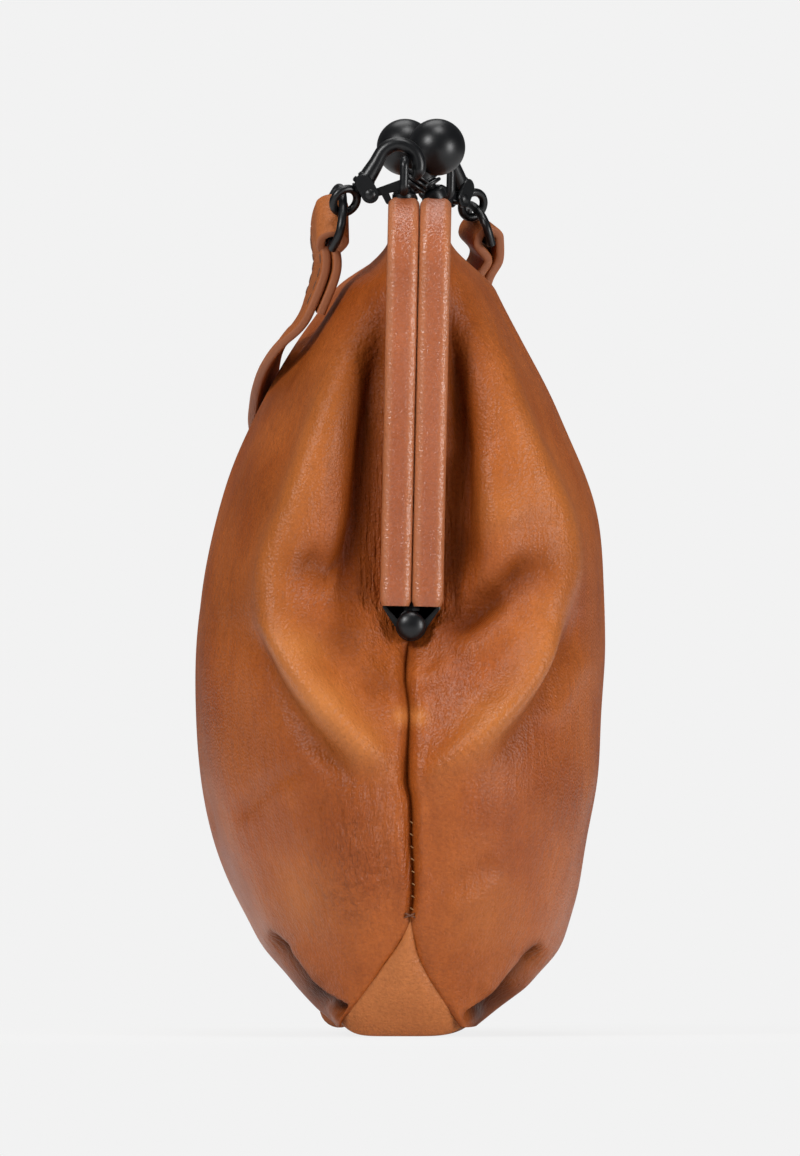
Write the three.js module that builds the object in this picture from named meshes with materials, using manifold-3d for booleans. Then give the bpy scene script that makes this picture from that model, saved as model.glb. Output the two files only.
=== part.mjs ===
// A small leather phone pouch with a kiss-lock frame and a detachable carrying strap.
// Millimetres, +Z up. X runs along the hinge line, +Y is the rear half that carries the near strap end.
// The origin is on the floor under the middle of the base.
import * as THREE from "three";
import { mergeVertices } from "three/addons/utils/BufferGeometryUtils.js";
import Module from "manifold-3d";

const wasm = await Module();
wasm.setup();

// Driving dimensions of the frame
const HINGE_Y = -2.4;
const HINGE_Z = 93;
const FRAME_LEAN = 1.2;
const FRAME_HALF_WIDTH = 58.5;
const FRAME_HEIGHT = 97;
const FRAME_CORNER = 15;
const BAR_WIDTH = 7;
const BAR_DEPTH = 8;
const BAR_ROUND = 1.8;
const CORE_ROUND = 0.5;
const BAR_GAP = 0.2;
const WRAP_WALL = 1.3;
const LEG_START = 4.4;
const PLATE = 1.4;
const PLATE_EYE = 3.4;
const PLATE_GRIP = 3;
const PLATE_SWING = 162;
const RIVET_SHAFT = 1.2;
const RIVET_HEAD = 3.3;
const RIVET_DOME = 1.9;
const RIVET_EDGE = 0.5;
const RIVET_BACK = 2.3;
const RIVET_BACK_HEIGHT = 1.2;
const LEG_X = FRAME_HALF_WIDTH - BAR_DEPTH / 2;
const LEAN = THREE.MathUtils.degToRad(FRAME_LEAN);

// Driving dimensions of the leather body
const LEATHER = 1.6;
const LINING = 0.8;
const FIT = 0.3;
const BODY_TOP = HINGE_Z + FRAME_HEIGHT - 7;
const BODY_FLOOR = 2;
const BASE_HALF_LENGTH = 50;
const BASE_HALF_DEPTH = 13.5;
const GUSSET_TIP_Z = 27;
const GUSSET_TIP_X = 62;
const SEAM_Y = -2.4;
const HINGE_HOLLOW = 11;
const LINING_EASE = 0.4;
const POCKET_LOW = 38;
const POCKET_HIGH = 112;
// Half depth of the rear and front panels, as pairs of height and depth
const REAR_PROFILE = [
  [2, 14.6], [12, 24.5], [30, 37], [50, 44], [76, 46.7], [100, 45.6],
  [124, 39.7], [142, 32], [160, 21], [183, 5],
];
const FRONT_PROFILE = [
  [2, 17.5], [12, 30], [30, 39.2], [50, 43.8], [78, 46.5], [102, 46],
  [126, 41.7], [142, 36.1], [158, 27.5], [183, 14],
];
// Half width of the filled body, as pairs of height and width
const FULL_PROFILE = [
  [BODY_FLOOR, BASE_HALF_LENGTH + 0.5], [GUSSET_TIP_Z, GUSSET_TIP_X], [45, GUSSET_TIP_X + 6],
  [62, GUSSET_TIP_X + 9], [HINGE_Z - 8, LEG_X + 16.5], [HINGE_Z + 17, LEG_X + 11.5],
  [HINGE_Z + 47, LEG_X + 3.5], [BODY_TOP - 23, LEG_X - 1.5], [BODY_TOP - 8, LEG_X - 5.5], [BODY_TOP, LEG_X - 7.5],
];
// Half width where the side seams and the frame's legs draw the leather in
const PINCH_PROFILE = [
  [BODY_FLOOR, BASE_HALF_LENGTH + 0.5], [GUSSET_TIP_Z, GUSSET_TIP_X - 0.5], [45, GUSSET_TIP_X + 3],
  [65, GUSSET_TIP_X + 3], [HINGE_Z - 15, LEG_X + 6.5], [HINGE_Z - 6, LEG_X], [HINGE_Z, LEG_X - 3],
  [BODY_TOP - 18, LEG_X - 2.5], [BODY_TOP - 7, LEG_X - 3], [BODY_TOP, LEG_X - 6.5],
];
// How far from the seam or leg the leather is drawn in, as pairs of height and distance
const PINCH_REACH = [
  [BODY_FLOOR, 4], [30, 5], [60, 8], [HINGE_Z - 13, 14], [HINGE_Z + 2, 15], [HINGE_Z + 22, 11], [150, 8],
  [BODY_TOP, 4],
];
const PINCH_POWER = 1.6;

// Driving dimensions of the kiss lock
const BALL_RADIUS = 6.5;
const BALL_PASS = 0.4;
const BALL_RISE = 12;
const BALL_CROSS = 3.6;
const STEM_RADIUS = 1.7;
const COLLAR_RADIUS = 3.3;
const COLLAR_RINGS = 3;
const COLLAR_RING = 1.1;
const COLLAR_LAND = 0.7;
const COLLAR_GROOVE = 0.6;
const COLLAR_TAPER = 0.25;
const COLLAR_TOP = 0.4;
const STEM_LIFT = 1.1;

// Driving dimensions of the strap hardware
const LUG_INSET = 16.5;
const LUG_X = FRAME_HALF_WIDTH - LUG_INSET;
const LUG_HALF_WIDTH = 5;
const LUG_BAR = 1;
const LUG_RISE = 8.5;
const WIRE = 1.45;
const GATE_HALF = 1.05;
const PIN_RADIUS = 0.6;
const LUG_SIDE = 1.5;
const LUG_FOOT = 0.9;
const LUG_SLOPE = 2;
const LUG_CORNER = 0.8;
// Outward and upward distances from the lug's bar, in the hook's plane
const HOOK_LINE = [
  [-2.2, -4.2], [-3.1, -2.6], [-3.25, -0.6], [-2.2, 1.9], [0, 3.35], [2.4, 3.5], [4.8, 2],
  [6.6, -1.2], [8.6, -4.6],
];
const BARREL_START = [8.1, -4];
const SHANK_WAY = [0.68, -0.73];
const BARREL_LENGTH = 3;
const BARREL = 2.2;
const GATE_PIVOT = [7.6, -8];
const GATE_TIP = [0.6, -5.6];
const GATE_ARM = 0.9;
const GATE_EYE = 1.4;
const GATE_SLOT = 2.3;
const EAR_ROOT = [9.2, -5.4];
const EAR_RADIUS = 1.7;
const EAR_INNER = 1.35;
const EAR_OUTER = 2.3;
const LEAF = 0.25;
const LEAF_FROM = -10;
const LEAF_TO = 105;
const SWIVEL_STEM = 0.9;
const SWIVEL_DEPTH = 1.6;
// Turn of each swivel eye about its shank, and directions of the D-ring's pull and of its straight bar
const NEAR_EYE_TURN = -38;
const NEAR_D_WAY = [0.69, 0.33, -0.64];
const NEAR_BAR_WAY = [0.67, 0.035, 0.74];
const FAR_EYE_TURN = 23;
const FAR_D_WAY = [0, 0.36, -0.93];
const FAR_BAR_WAY = [-0.8, 0.55, 0.2];
const D_DEPTH = 7.2;
const D_HALF_BAR = 7.6;
const D_SQUARE = 0.5;
const EYE_RADIUS = 3;
const EYE_WIRE = 0.95;
const D_WIRE = 1;
const FAR_TURN = 52;
const FAR_DROP = -3;

// Driving dimensions of the strap
const STRAP_WIDTH = 12;
const STRAP = 2.2;
// Half distance between the middles of the two sewn plies, and how far they run straight from the D-ring
const PLY_HALF = 1.3;
const PLY_START = 5;
// Chosen points of the strap, each with its place and the direction that its outer face looks
// The sewn plies have the first two, and the free stretch of the long ply the rest
const NEAR_PLIES = [[-32.8, 16.6, 174.5, -0.2, 0.93, 0.3], [-31.2, 19.6, 165, -0.1, 0.93, 0.35]];
const NEAR_ROUTE = [
  [-27.5, 24, 160.5, -0.1, 0.7, 0.7], [-18, 27.8, 156, 0, 0.8, 0.6], [-4, 30, 152, 0, 0.85, 0.5],
  [12, 31, 148, 0.1, 0.88, 0.45], [29, 31.4, 143, 0.2, 0.88, 0.4], [45, 30, 137.5, 0.35, 0.85, 0.3],
  [59, 26.5, 131.5, 0.4, 0.85, 0.2], [69, 21.5, 127, 0.2, 0.95, 0.1],
];
const FAR_PLIES = [[58, -17.6, 172, 0.5, -0.85, 0.2], [61.5, -18.8, 164, 0.5, -0.85, 0.2]];
const FAR_ROUTE = [
  [66, -19.6, 152, 0.4, -0.9, 0.2], [71.5, -19, 140, 0.2, -0.95, 0.1], [75.5, -18, 129, 0, -1, 0],
];
const HANK_LEAD = 6;
const LOOP_EASE = 0.3;
const HANK_X = 77;
const HANK_RUNS = 6;
const HANK_PITCH = 7;
const HANK_LOW = 5;
const HANK_HIGH = 112;
const TIE_Z = 62;
const TIE = 1.4;
const TIE_HEIGHT = 9;

const tan = new THREE.MeshStandardMaterial({ color: 0xb06a30, roughness: 0.5 });
const brown = new THREE.MeshStandardMaterial({ color: 0xa5623a, roughness: 0.5 });
const cotton = new THREE.MeshStandardMaterial({ color: 0x8a6a4a, roughness: 0.9 });
const black = new THREE.MeshStandardMaterial({ color: 0x141414, roughness: 0.4, metalness: 0.6 });
const steel = new THREE.MeshStandardMaterial({ color: 0x9a9a9a, roughness: 0.35, metalness: 1 });

const pouch = new THREE.Group();
const smooth = (a, b, t) => THREE.MathUtils.smoothstep(t, a, b);

// A named mesh in its group
function piece(name, geometry, material, parent = pouch) {
  const mesh = new THREE.Mesh(geometry, material);
  mesh.name = name;
  parent.add(mesh);
  return mesh;
}

// A closed geometry as a solid for joins and cuts, and back again
function solid(geometry) {
  const bare = geometry.clone();
  bare.deleteAttribute("normal");
  bare.deleteAttribute("uv");
  const merged = mergeVertices(bare, 1e-4);
  return new wasm.Manifold(new wasm.Mesh({
    numProp: 3,
    vertProperties: merged.attributes.position.array,
    triVerts: new Uint32Array(merged.index.array),
  }));
}
function geometryOf(body) {
  const mesh = body.getMesh();
  return new THREE.BufferGeometry()
    .setAttribute("position", new THREE.BufferAttribute(new Float32Array(mesh.vertProperties), 3))
    .setIndex(new THREE.BufferAttribute(new Uint32Array(mesh.triVerts), 1));
}

// A value read from a smooth curve through pairs of position and value
function along(pairs) {
  const slopes = pairs.map((p, i) => {
    const a = pairs[Math.max(i - 1, 0)];
    const b = pairs[Math.min(i + 1, pairs.length - 1)];
    return (b[1] - a[1]) / (b[0] - a[0]);
  });
  return (t) => {
    let i = 0;
    while (i < pairs.length - 2 && t > pairs[i + 1][0]) i += 1;
    const span = pairs[i + 1][0] - pairs[i][0];
    const s = THREE.MathUtils.clamp((t - pairs[i][0]) / span, 0, 1);
    const s2 = s * s;
    const s3 = s2 * s;
    return (2 * s3 - 3 * s2 + 1) * pairs[i][1] + (s3 - 2 * s2 + s) * span * slopes[i]
      + (3 * s2 - 2 * s3) * pairs[i + 1][1] + (s3 - s2) * span * slopes[i + 1];
  };
}

// A closed body from rings of points, each ring in the same order, with flat or fanned ends
function loft(rings, closed = false) {
  const count = rings[0].length;
  const points = rings.flat().flatMap((p) => [p.x, p.y, p.z]);
  const faces = [];
  const last = closed ? rings.length : rings.length - 1;
  for (let i = 0; i < last; i += 1) {
    const a = i * count;
    const b = ((i + 1) % rings.length) * count;
    for (let j = 0; j < count; j += 1) {
      const k = (j + 1) % count;
      faces.push(a + j, a + k, b + k, a + j, b + k, b + j);
    }
  }
  if (!closed) {
    const end = (rings.length - 1) * count;
    for (let j = 1; j < count - 1; j += 1) {
      faces.push(0, j + 1, j, end, end + j, end + j + 1);
    }
  }
  const geometry = new THREE.BufferGeometry();
  geometry.setAttribute("position", new THREE.BufferAttribute(new Float32Array(points), 3));
  geometry.setIndex(faces);
  return outward(geometry);
}

// The same geometry with its faces turned outwards
function outward(geometry) {
  const at = geometry.attributes.position;
  const index = geometry.index.array;
  const corner = (i) => new THREE.Vector3().fromBufferAttribute(at, index[i]);
  let volume = 0;
  for (let i = 0; i < index.length; i += 3) {
    volume += corner(i).dot(corner(i + 1).cross(corner(i + 2)));
  }
  if (volume < 0) {
    for (let i = 0; i < index.length; i += 3) {
      [index[i + 1], index[i + 2]] = [index[i + 2], index[i + 1]];
    }
  }
  return geometry;
}

// A shell between two sheets, each a function of u and v from 0 to 1
function shell(outer, inner, columns, rows) {
  const points = [];
  const faces = [];
  for (const sheet of [outer, inner]) {
    for (let i = 0; i <= rows; i += 1) {
      for (let j = 0; j <= columns; j += 1) points.push(...sheet(j / columns, i / rows).toArray());
    }
  }
  const across = columns + 1;
  const layer = across * (rows + 1);
  const quad = (a, b, c, d) => faces.push(a, b, c, a, c, d);
  for (let i = 0; i < rows; i += 1) {
    for (let j = 0; j < columns; j += 1) {
      const a = i * across + j;
      const b = a + across;
      quad(a, a + 1, b + 1, b);
      quad(layer + a, layer + b, layer + b + 1, layer + a + 1);
    }
    const left = i * across;
    const right = left + columns;
    quad(left, left + across, layer + left + across, layer + left);
    quad(right, layer + right, layer + right + across, right + across);
  }
  const top = rows * across;
  for (let j = 0; j < columns; j += 1) {
    quad(j, layer + j, layer + j + 1, j + 1);
    quad(top + j, top + j + 1, layer + top + j + 1, layer + top + j);
  }
  const geometry = new THREE.BufferGeometry();
  geometry.setAttribute("position", new THREE.BufferAttribute(new Float32Array(points), 3));
  geometry.setIndex(faces);
  return outward(geometry);
}

const PLATE_CLEAR = PLATE_EYE + 0.4;

// Half of the leather body: side is 1 for the rear and -1 for the front, inset moves the sheet inwards
const fullWidth = along(FULL_PROFILE);
const pinchWidth = along(PINCH_PROFILE);
const pinchReach = along(PINCH_REACH);
const depths = { 1: along(REAR_PROFILE), [-1]: along(FRONT_PROFILE) };
function edgeDepth(side, z) {
  const gusset = BASE_HALF_DEPTH * Math.max(0, 1 - (z - BODY_FLOOR) / (GUSSET_TIP_Z - BODY_FLOOR));
  const seam = side * SEAM_Y * smooth(0, GUSSET_TIP_Z, z) + FIT + gusset;
  const bar = side * (HINGE_Y - (z - HINGE_Z) * Math.tan(LEAN)) + BAR_GAP + BAR_WIDTH + FIT;
  return THREE.MathUtils.lerp(seam, bar, smooth(HINGE_Z - HINGE_HOLLOW, HINGE_Z - PLATE_CLEAR, z));
}
// Heights of the rows of points, closer together beside the hinge
const BODY_ROWS = [
  BODY_FLOOR, 8, 17, GUSSET_TIP_Z, 40, 55, 70, HINGE_Z - HINGE_HOLLOW, HINGE_Z - 7, HINGE_Z - PLATE_CLEAR,
  HINGE_Z + LEG_START, 104, 112, 125, 140, 155, BODY_TOP - 12, BODY_TOP - 5, BODY_TOP,
];
function bodySheet(side, inset, rows) {
  return (u, v) => {
    const z = rows[Math.round(v * (rows.length - 1))];
    const step = 2 * u - 1;
    const turn = (Math.PI / 2) * (0.6 * step + 0.4 * Math.sin((Math.PI / 2) * step));
    const edge = edgeDepth(side, z);
    const seated = edge + LEATHER + FIT / 2;
    const depth = THREE.MathUtils.lerp(depths[side](z), seated, smooth(BODY_TOP - 14, BODY_TOP, z));
    const far = (depth - inset - edge) * Math.abs(Math.cos(turn)) ** 0.82;
    const drawn = (fullWidth(z) - pinchWidth(z)) * Math.exp(-((Math.abs(far) / pinchReach(z)) ** PINCH_POWER));
    const share = Math.abs(Math.sin(turn));
    const x = Math.sign(turn) * ((fullWidth(z) - inset) * share ** 0.9 - drawn * smooth(0.2, 0.9, share));
    const y = edge + far;
    return new THREE.Vector3(x, side * y, z);
  };
}

// Leather body
const BODY_COLUMNS = 32;
const liningRows = BODY_ROWS.slice(1, -3);
for (const [name, side] of [["rear", 1], ["front", -1]]) {
  const sheet = (inset, rows) => bodySheet(side, inset, rows);
  const panel = shell(sheet(0, BODY_ROWS), sheet(LEATHER, BODY_ROWS), BODY_COLUMNS, BODY_ROWS.length - 1);
  piece(name + "_panel", panel, tan);
  const under = LEATHER + LINING_EASE;
  const lining = shell(
    sheet(under, liningRows), sheet(under + LINING, liningRows), BODY_COLUMNS, liningRows.length - 1);
  piece("lining_" + name, lining, cotton);
}

// Slip pocket on the rear lining, with an open top edge
const pocketRows = BODY_ROWS.filter((z) => z > POCKET_LOW && z < POCKET_HIGH);
const pocketSheet = (inset) => (u, v) => bodySheet(1, inset, pocketRows)(0.25 + u / 2, v);
const pocketInset = LEATHER + LINING + 2 * LINING_EASE;
const pocket = shell(
  pocketSheet(pocketInset), pocketSheet(pocketInset + LINING), BODY_COLUMNS / 2, pocketRows.length - 1);
piece("slip_pocket", pocket, cotton);

// Base panel: a flat strip whose ends fold up to a point at the side seams
function baseStrip() {
  const half = (s) => {
    const run = BASE_HALF_LENGTH + Math.hypot(GUSSET_TIP_X - BASE_HALF_LENGTH, GUSSET_TIP_Z);
    const at = Math.abs(s) * run;
    const rise = Math.max(0, at - BASE_HALF_LENGTH) / (run - BASE_HALF_LENGTH);
    const bend = Math.min(at, BASE_HALF_LENGTH);
    const x = Math.sign(s) * (bend + rise * (GUSSET_TIP_X - BASE_HALF_LENGTH));
    return { x, z: rise * (GUSSET_TIP_Z - BODY_FLOOR), rise };
  };
  const stations = [-1, -0.88, -0.76, -0.641, -0.5, -0.25, 0, 0.25, 0.5, 0.641, 0.76, 0.88, 1];
  const rings = stations.map((s) => {
    const { x, z, rise } = half(s);
    const wide = BASE_HALF_DEPTH * (1 - rise) + 0.4;
    const middle = SEAM_Y * rise;
    const lean = rise > 0 ? Math.sign(s) * LEATHER * 0.9 : 0;
    const up = rise > 0 ? LEATHER * 0.4 : LEATHER;
    return [
      new THREE.Vector3(x, middle - wide, z),
      new THREE.Vector3(x, middle + wide, z),
      new THREE.Vector3(x - lean, middle + wide, z + up),
      new THREE.Vector3(x - lean, middle - wide, z + up),
    ];
  });
  return loft(rings);
}
piece("base_panel", baseStrip(), tan);

// Frame halves: each is drawn about the hinge line and leans as the closed frame does
const frame = new THREE.Group();
frame.position.set(0, HINGE_Y, HINGE_Z);
frame.rotation.x = LEAN;
pouch.add(frame);

// The middle line of a bar bent to an upside-down U, as points with their outward normals
function barPath(low) {
  const radius = FRAME_CORNER - BAR_DEPTH / 2;
  const top = FRAME_HEIGHT - BAR_DEPTH / 2;
  const path = [{ x: -LEG_X, z: low, nx: -1, nz: 0 }];
  for (const [side, start] of [[-1, Math.PI], [1, Math.PI / 2]]) {
    for (let i = 0; i <= 5; i += 1) {
      const a = start - (i / 5) * (Math.PI / 2);
      path.push({
        x: side * (LEG_X - radius) + radius * Math.cos(a),
        z: top - radius + radius * Math.sin(a),
        nx: Math.cos(a),
        nz: Math.sin(a),
      });
    }
  }
  path.push({ x: LEG_X, z: low, nx: 1, nz: 0 });
  return path;
}

// A bar with a rounded rectangular section along that line, at a distance from the frame's middle plane
function bar(side, low, depth, width, round) {
  const middle = side * (BAR_GAP + BAR_WIDTH / 2);
  const section = [];
  for (const [a, b, start] of [[1, 1, 0], [-1, 1, 1], [-1, -1, 2], [1, -1, 3]]) {
    for (let i = 0; i <= 2; i += 1) {
      const turn = (start + i / 2) * (Math.PI / 2);
      section.push([
        a * (depth / 2 - round) + round * Math.cos(turn),
        b * (width / 2 - round) + round * Math.sin(turn),
      ]);
    }
  }
  const rings = barPath(low).map(({ x, z, nx, nz }) =>
    section.map(([out, y]) => new THREE.Vector3(x + out * nx, middle + y, z + out * nz)));
  return loft(rings);
}

// A cylinder along X between two places, about the hinge line or another point
function pinAlongX(from, to, radius, y = 0, z = 0, sides = 20) {
  const shape = new THREE.CylinderGeometry(radius, radius, to - from, sides);
  shape.rotateZ(-Math.PI / 2);
  shape.translate((from + to) / 2, y, z);
  return shape;
}

// A tapered plate from the foot of a leg to the hinge rivet
function hingePlate(side, from) {
  const inner = side * (BAR_GAP + WRAP_WALL + FIT);
  const outer = side * (BAR_GAP + BAR_WIDTH - WRAP_WALL - FIT);
  const shape = new THREE.Shape();
  const foot = LEG_START + PLATE_GRIP;
  const swing = THREE.MathUtils.degToRad(PLATE_SWING);
  shape.moveTo(inner, foot);
  shape.lineTo(inner, PLATE_EYE);
  for (let i = 0; i <= 10; i += 1) {
    const a = Math.PI / 2 + side * (i / 10) * swing;
    shape.lineTo(PLATE_EYE * Math.cos(a), PLATE_EYE * Math.sin(a));
  }
  shape.lineTo(outer, LEG_START - FIT);
  shape.lineTo(outer, foot);
  shape.closePath();
  const plate = new THREE.ExtrudeGeometry(shape, { depth: PLATE, bevelEnabled: false });
  plate.rotateX(Math.PI / 2);
  plate.rotateZ(Math.PI / 2);
  plate.translate(from, 0, 0);
  return plate;
}

const PLATE_LAYER = { 1: -PLATE - BAR_GAP / 2, [-1]: BAR_GAP / 2 };
for (const [name, side] of [["rear", 1], ["front", -1]]) {
  const coreDepth = BAR_DEPTH - 2 * (WRAP_WALL + FIT);
  const coreWidth = BAR_WIDTH - 2 * (WRAP_WALL + FIT);
  const slot = bar(side, LEG_START - 1, coreDepth + 2 * FIT, coreWidth + 2 * FIT, CORE_ROUND);
  const wrap = solid(bar(side, LEG_START, BAR_DEPTH, BAR_WIDTH, BAR_ROUND)).subtract(solid(slot));
  piece(name + "_frame_wrap", geometryOf(wrap), brown, frame);
  let core = solid(bar(side, LEG_START + FIT, coreDepth, coreWidth, CORE_ROUND));
  for (const end of [-1, 1]) {
    const layer = PLATE_LAYER[side];
    const from = end > 0 ? LEG_X + layer : -LEG_X - layer - PLATE;
    core = core.add(solid(hingePlate(side, from)));
    const bore = pinAlongX(end * LEG_X - BAR_DEPTH, end * LEG_X + BAR_DEPTH, RIVET_SHAFT + FIT);
    core = core.subtract(solid(bore));
  }
  piece(name + "_frame_core", geometryOf(core), black, frame);
}

// Hinge rivets with domed heads outside and small heads inside
for (const [name, end] of [["near", -1], ["far", 1]]) {
  const inside = LEG_X - PLATE - BAR_GAP - FIT;
  const outside = LEG_X + PLATE + BAR_GAP + FIT;
  const profile = [
    [0, inside - RIVET_BACK_HEIGHT], [RIVET_BACK, inside - RIVET_BACK_HEIGHT], [RIVET_BACK, inside],
    [RIVET_SHAFT, inside], [RIVET_SHAFT, outside], [RIVET_HEAD, outside],
  ];
  for (let i = 1; i <= 6; i += 1) {
    const a = (i / 6) * (Math.PI / 2);
    profile.push([RIVET_HEAD * Math.cos(a), outside + RIVET_EDGE + RIVET_DOME * Math.sin(a)]);
  }
  profile[profile.length - 1][0] = 0;
  const rivet = new THREE.LatheGeometry(profile.map(([r, h]) => new THREE.Vector2(r, h)), 20);
  rivet.rotateZ(-end * Math.PI / 2);
  piece(name + "_hinge_rivet", rivet, black, frame);
}

// Kiss lock: each half's ball leans across to the other half, and the two pass side by side along X
const barMiddle = BAR_GAP + BAR_WIDTH / 2;
for (const [name, side] of [["rear", 1], ["front", -1]]) {
  const foot = FRAME_HEIGHT + FIT;
  const across = side * (barMiddle + BALL_CROSS);
  const rise = BALL_RISE - FIT;
  const reach = Math.hypot(across, rise);
  const lock = new THREE.Group();
  lock.position.set(-side * (BALL_RADIUS + BALL_PASS / 2), side * barMiddle, foot);
  lock.rotation.x = Math.atan2(across, rise);
  frame.add(lock);
  const stemEnd = reach - BALL_RADIUS - FIT;
  const rod = new THREE.CylinderGeometry(STEM_RADIUS, STEM_RADIUS, stemEnd - STEM_LIFT, 14);
  rod.rotateX(Math.PI / 2);
  rod.translate(0, 0, (stemEnd + STEM_LIFT) / 2);
  piece(name + "_lock_stem", rod, black, lock);
  const collar = [[STEM_RADIUS + FIT, 0]];
  for (let i = 0; i < COLLAR_RINGS; i += 1) {
    const wide = COLLAR_RADIUS - i * COLLAR_TAPER;
    const low = i * COLLAR_RING;
    collar.push([wide, low], [wide, low + COLLAR_LAND]);
    collar.push([wide - COLLAR_GROOVE, low + COLLAR_LAND], [wide - COLLAR_GROOVE, low + COLLAR_RING]);
  }
  collar.push([STEM_RADIUS + FIT, COLLAR_RINGS * COLLAR_RING], [STEM_RADIUS + FIT, 0]);
  const rings = new THREE.LatheGeometry(collar.map(([r, h]) => new THREE.Vector2(r, h)), 14);
  rings.rotateX(Math.PI / 2);
  rings.translate(0, 0, stemEnd - COLLAR_RINGS * COLLAR_RING - COLLAR_TOP);
  piece(name + "_lock_collar", rings, black, lock);
  const ball = new THREE.SphereGeometry(BALL_RADIUS, 18, 10);
  ball.translate(0, 0, reach);
  piece(name + "_lock_ball", ball, black, lock);
}

// A round wire along points that lie in one plane with the given normal
function wire(points, normal, radius, sides, closed = false) {
  const count = points.length;
  const rings = points.map((p, i) => {
    const before = points[closed ? (i + count - 1) % count : Math.max(i - 1, 0)];
    const after = points[closed ? (i + 1) % count : Math.min(i + 1, count - 1)];
    const side = new THREE.Vector3().subVectors(after, before).cross(normal).normalize();
    return Array.from({ length: sides }, (_, j) => {
      const a = (j / sides) * 2 * Math.PI;
      const rim = p.clone().addScaledVector(side, radius * Math.cos(a));
      return rim.addScaledVector(normal, radius * Math.sin(a));
    });
  });
  return loft(rings, closed);
}

// A flat outline in the hook's plane, given as outward and upward distances, made thick along X
function flat(points, from, to) {
  const shape = new THREE.Shape(points.map(([p, q]) => new THREE.Vector2(p, q)));
  const plate = new THREE.ExtrudeGeometry(shape, { depth: to - from, bevelEnabled: false });
  plate.applyMatrix4(new THREE.Matrix4().set(0, 0, 1, from, 1, 0, 0, 0, 0, 1, 0, 0, 0, 0, 0, 1));
  return plate;
}
// The outline of a round-ended link between two points
function link(a, b, radius) {
  const turn = Math.atan2(b[1] - a[1], b[0] - a[0]);
  const outline = [];
  for (const [centre, start] of [[b, turn - Math.PI / 2], [a, turn + Math.PI / 2]]) {
    for (let i = 0; i <= 6; i += 1) {
      const angle = start + (i / 6) * Math.PI;
      outline.push([centre[0] + radius * Math.cos(angle), centre[1] + radius * Math.sin(angle)]);
    }
  }
  return outline;
}

// Strap hardware, drawn about the lug's bar: outward from the pouch is local +Y
const AXIS = new THREE.Vector3(1, 0, 0);
const inHook = ([p, q]) => new THREE.Vector3(0, p, q);
const shankWay = inHook(SHANK_WAY).normalize();
const barrelEnd = inHook(BARREL_START).addScaledVector(shankWay, BARREL_LENGTH);
const eyeCentre = barrelEnd.clone().addScaledVector(shankWay, 2 * FIT + EYE_RADIUS + EYE_WIRE);
const dBow = eyeCentre.clone().addScaledVector(shankWay, EYE_RADIUS - EYE_WIRE - D_WIRE - FIT);

// A rod of given length that starts at a point and runs along a direction
function rod(start, way, length, radius, sides = 14) {
  const shape = new THREE.CylinderGeometry(radius, radius, length, sides);
  shape.translate(0, length / 2, 0);
  shape.applyQuaternion(new THREE.Quaternion().setFromUnitVectors(new THREE.Vector3(0, 1, 0), way));
  shape.translate(start.x, start.y, start.z);
  return shape;
}

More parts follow.
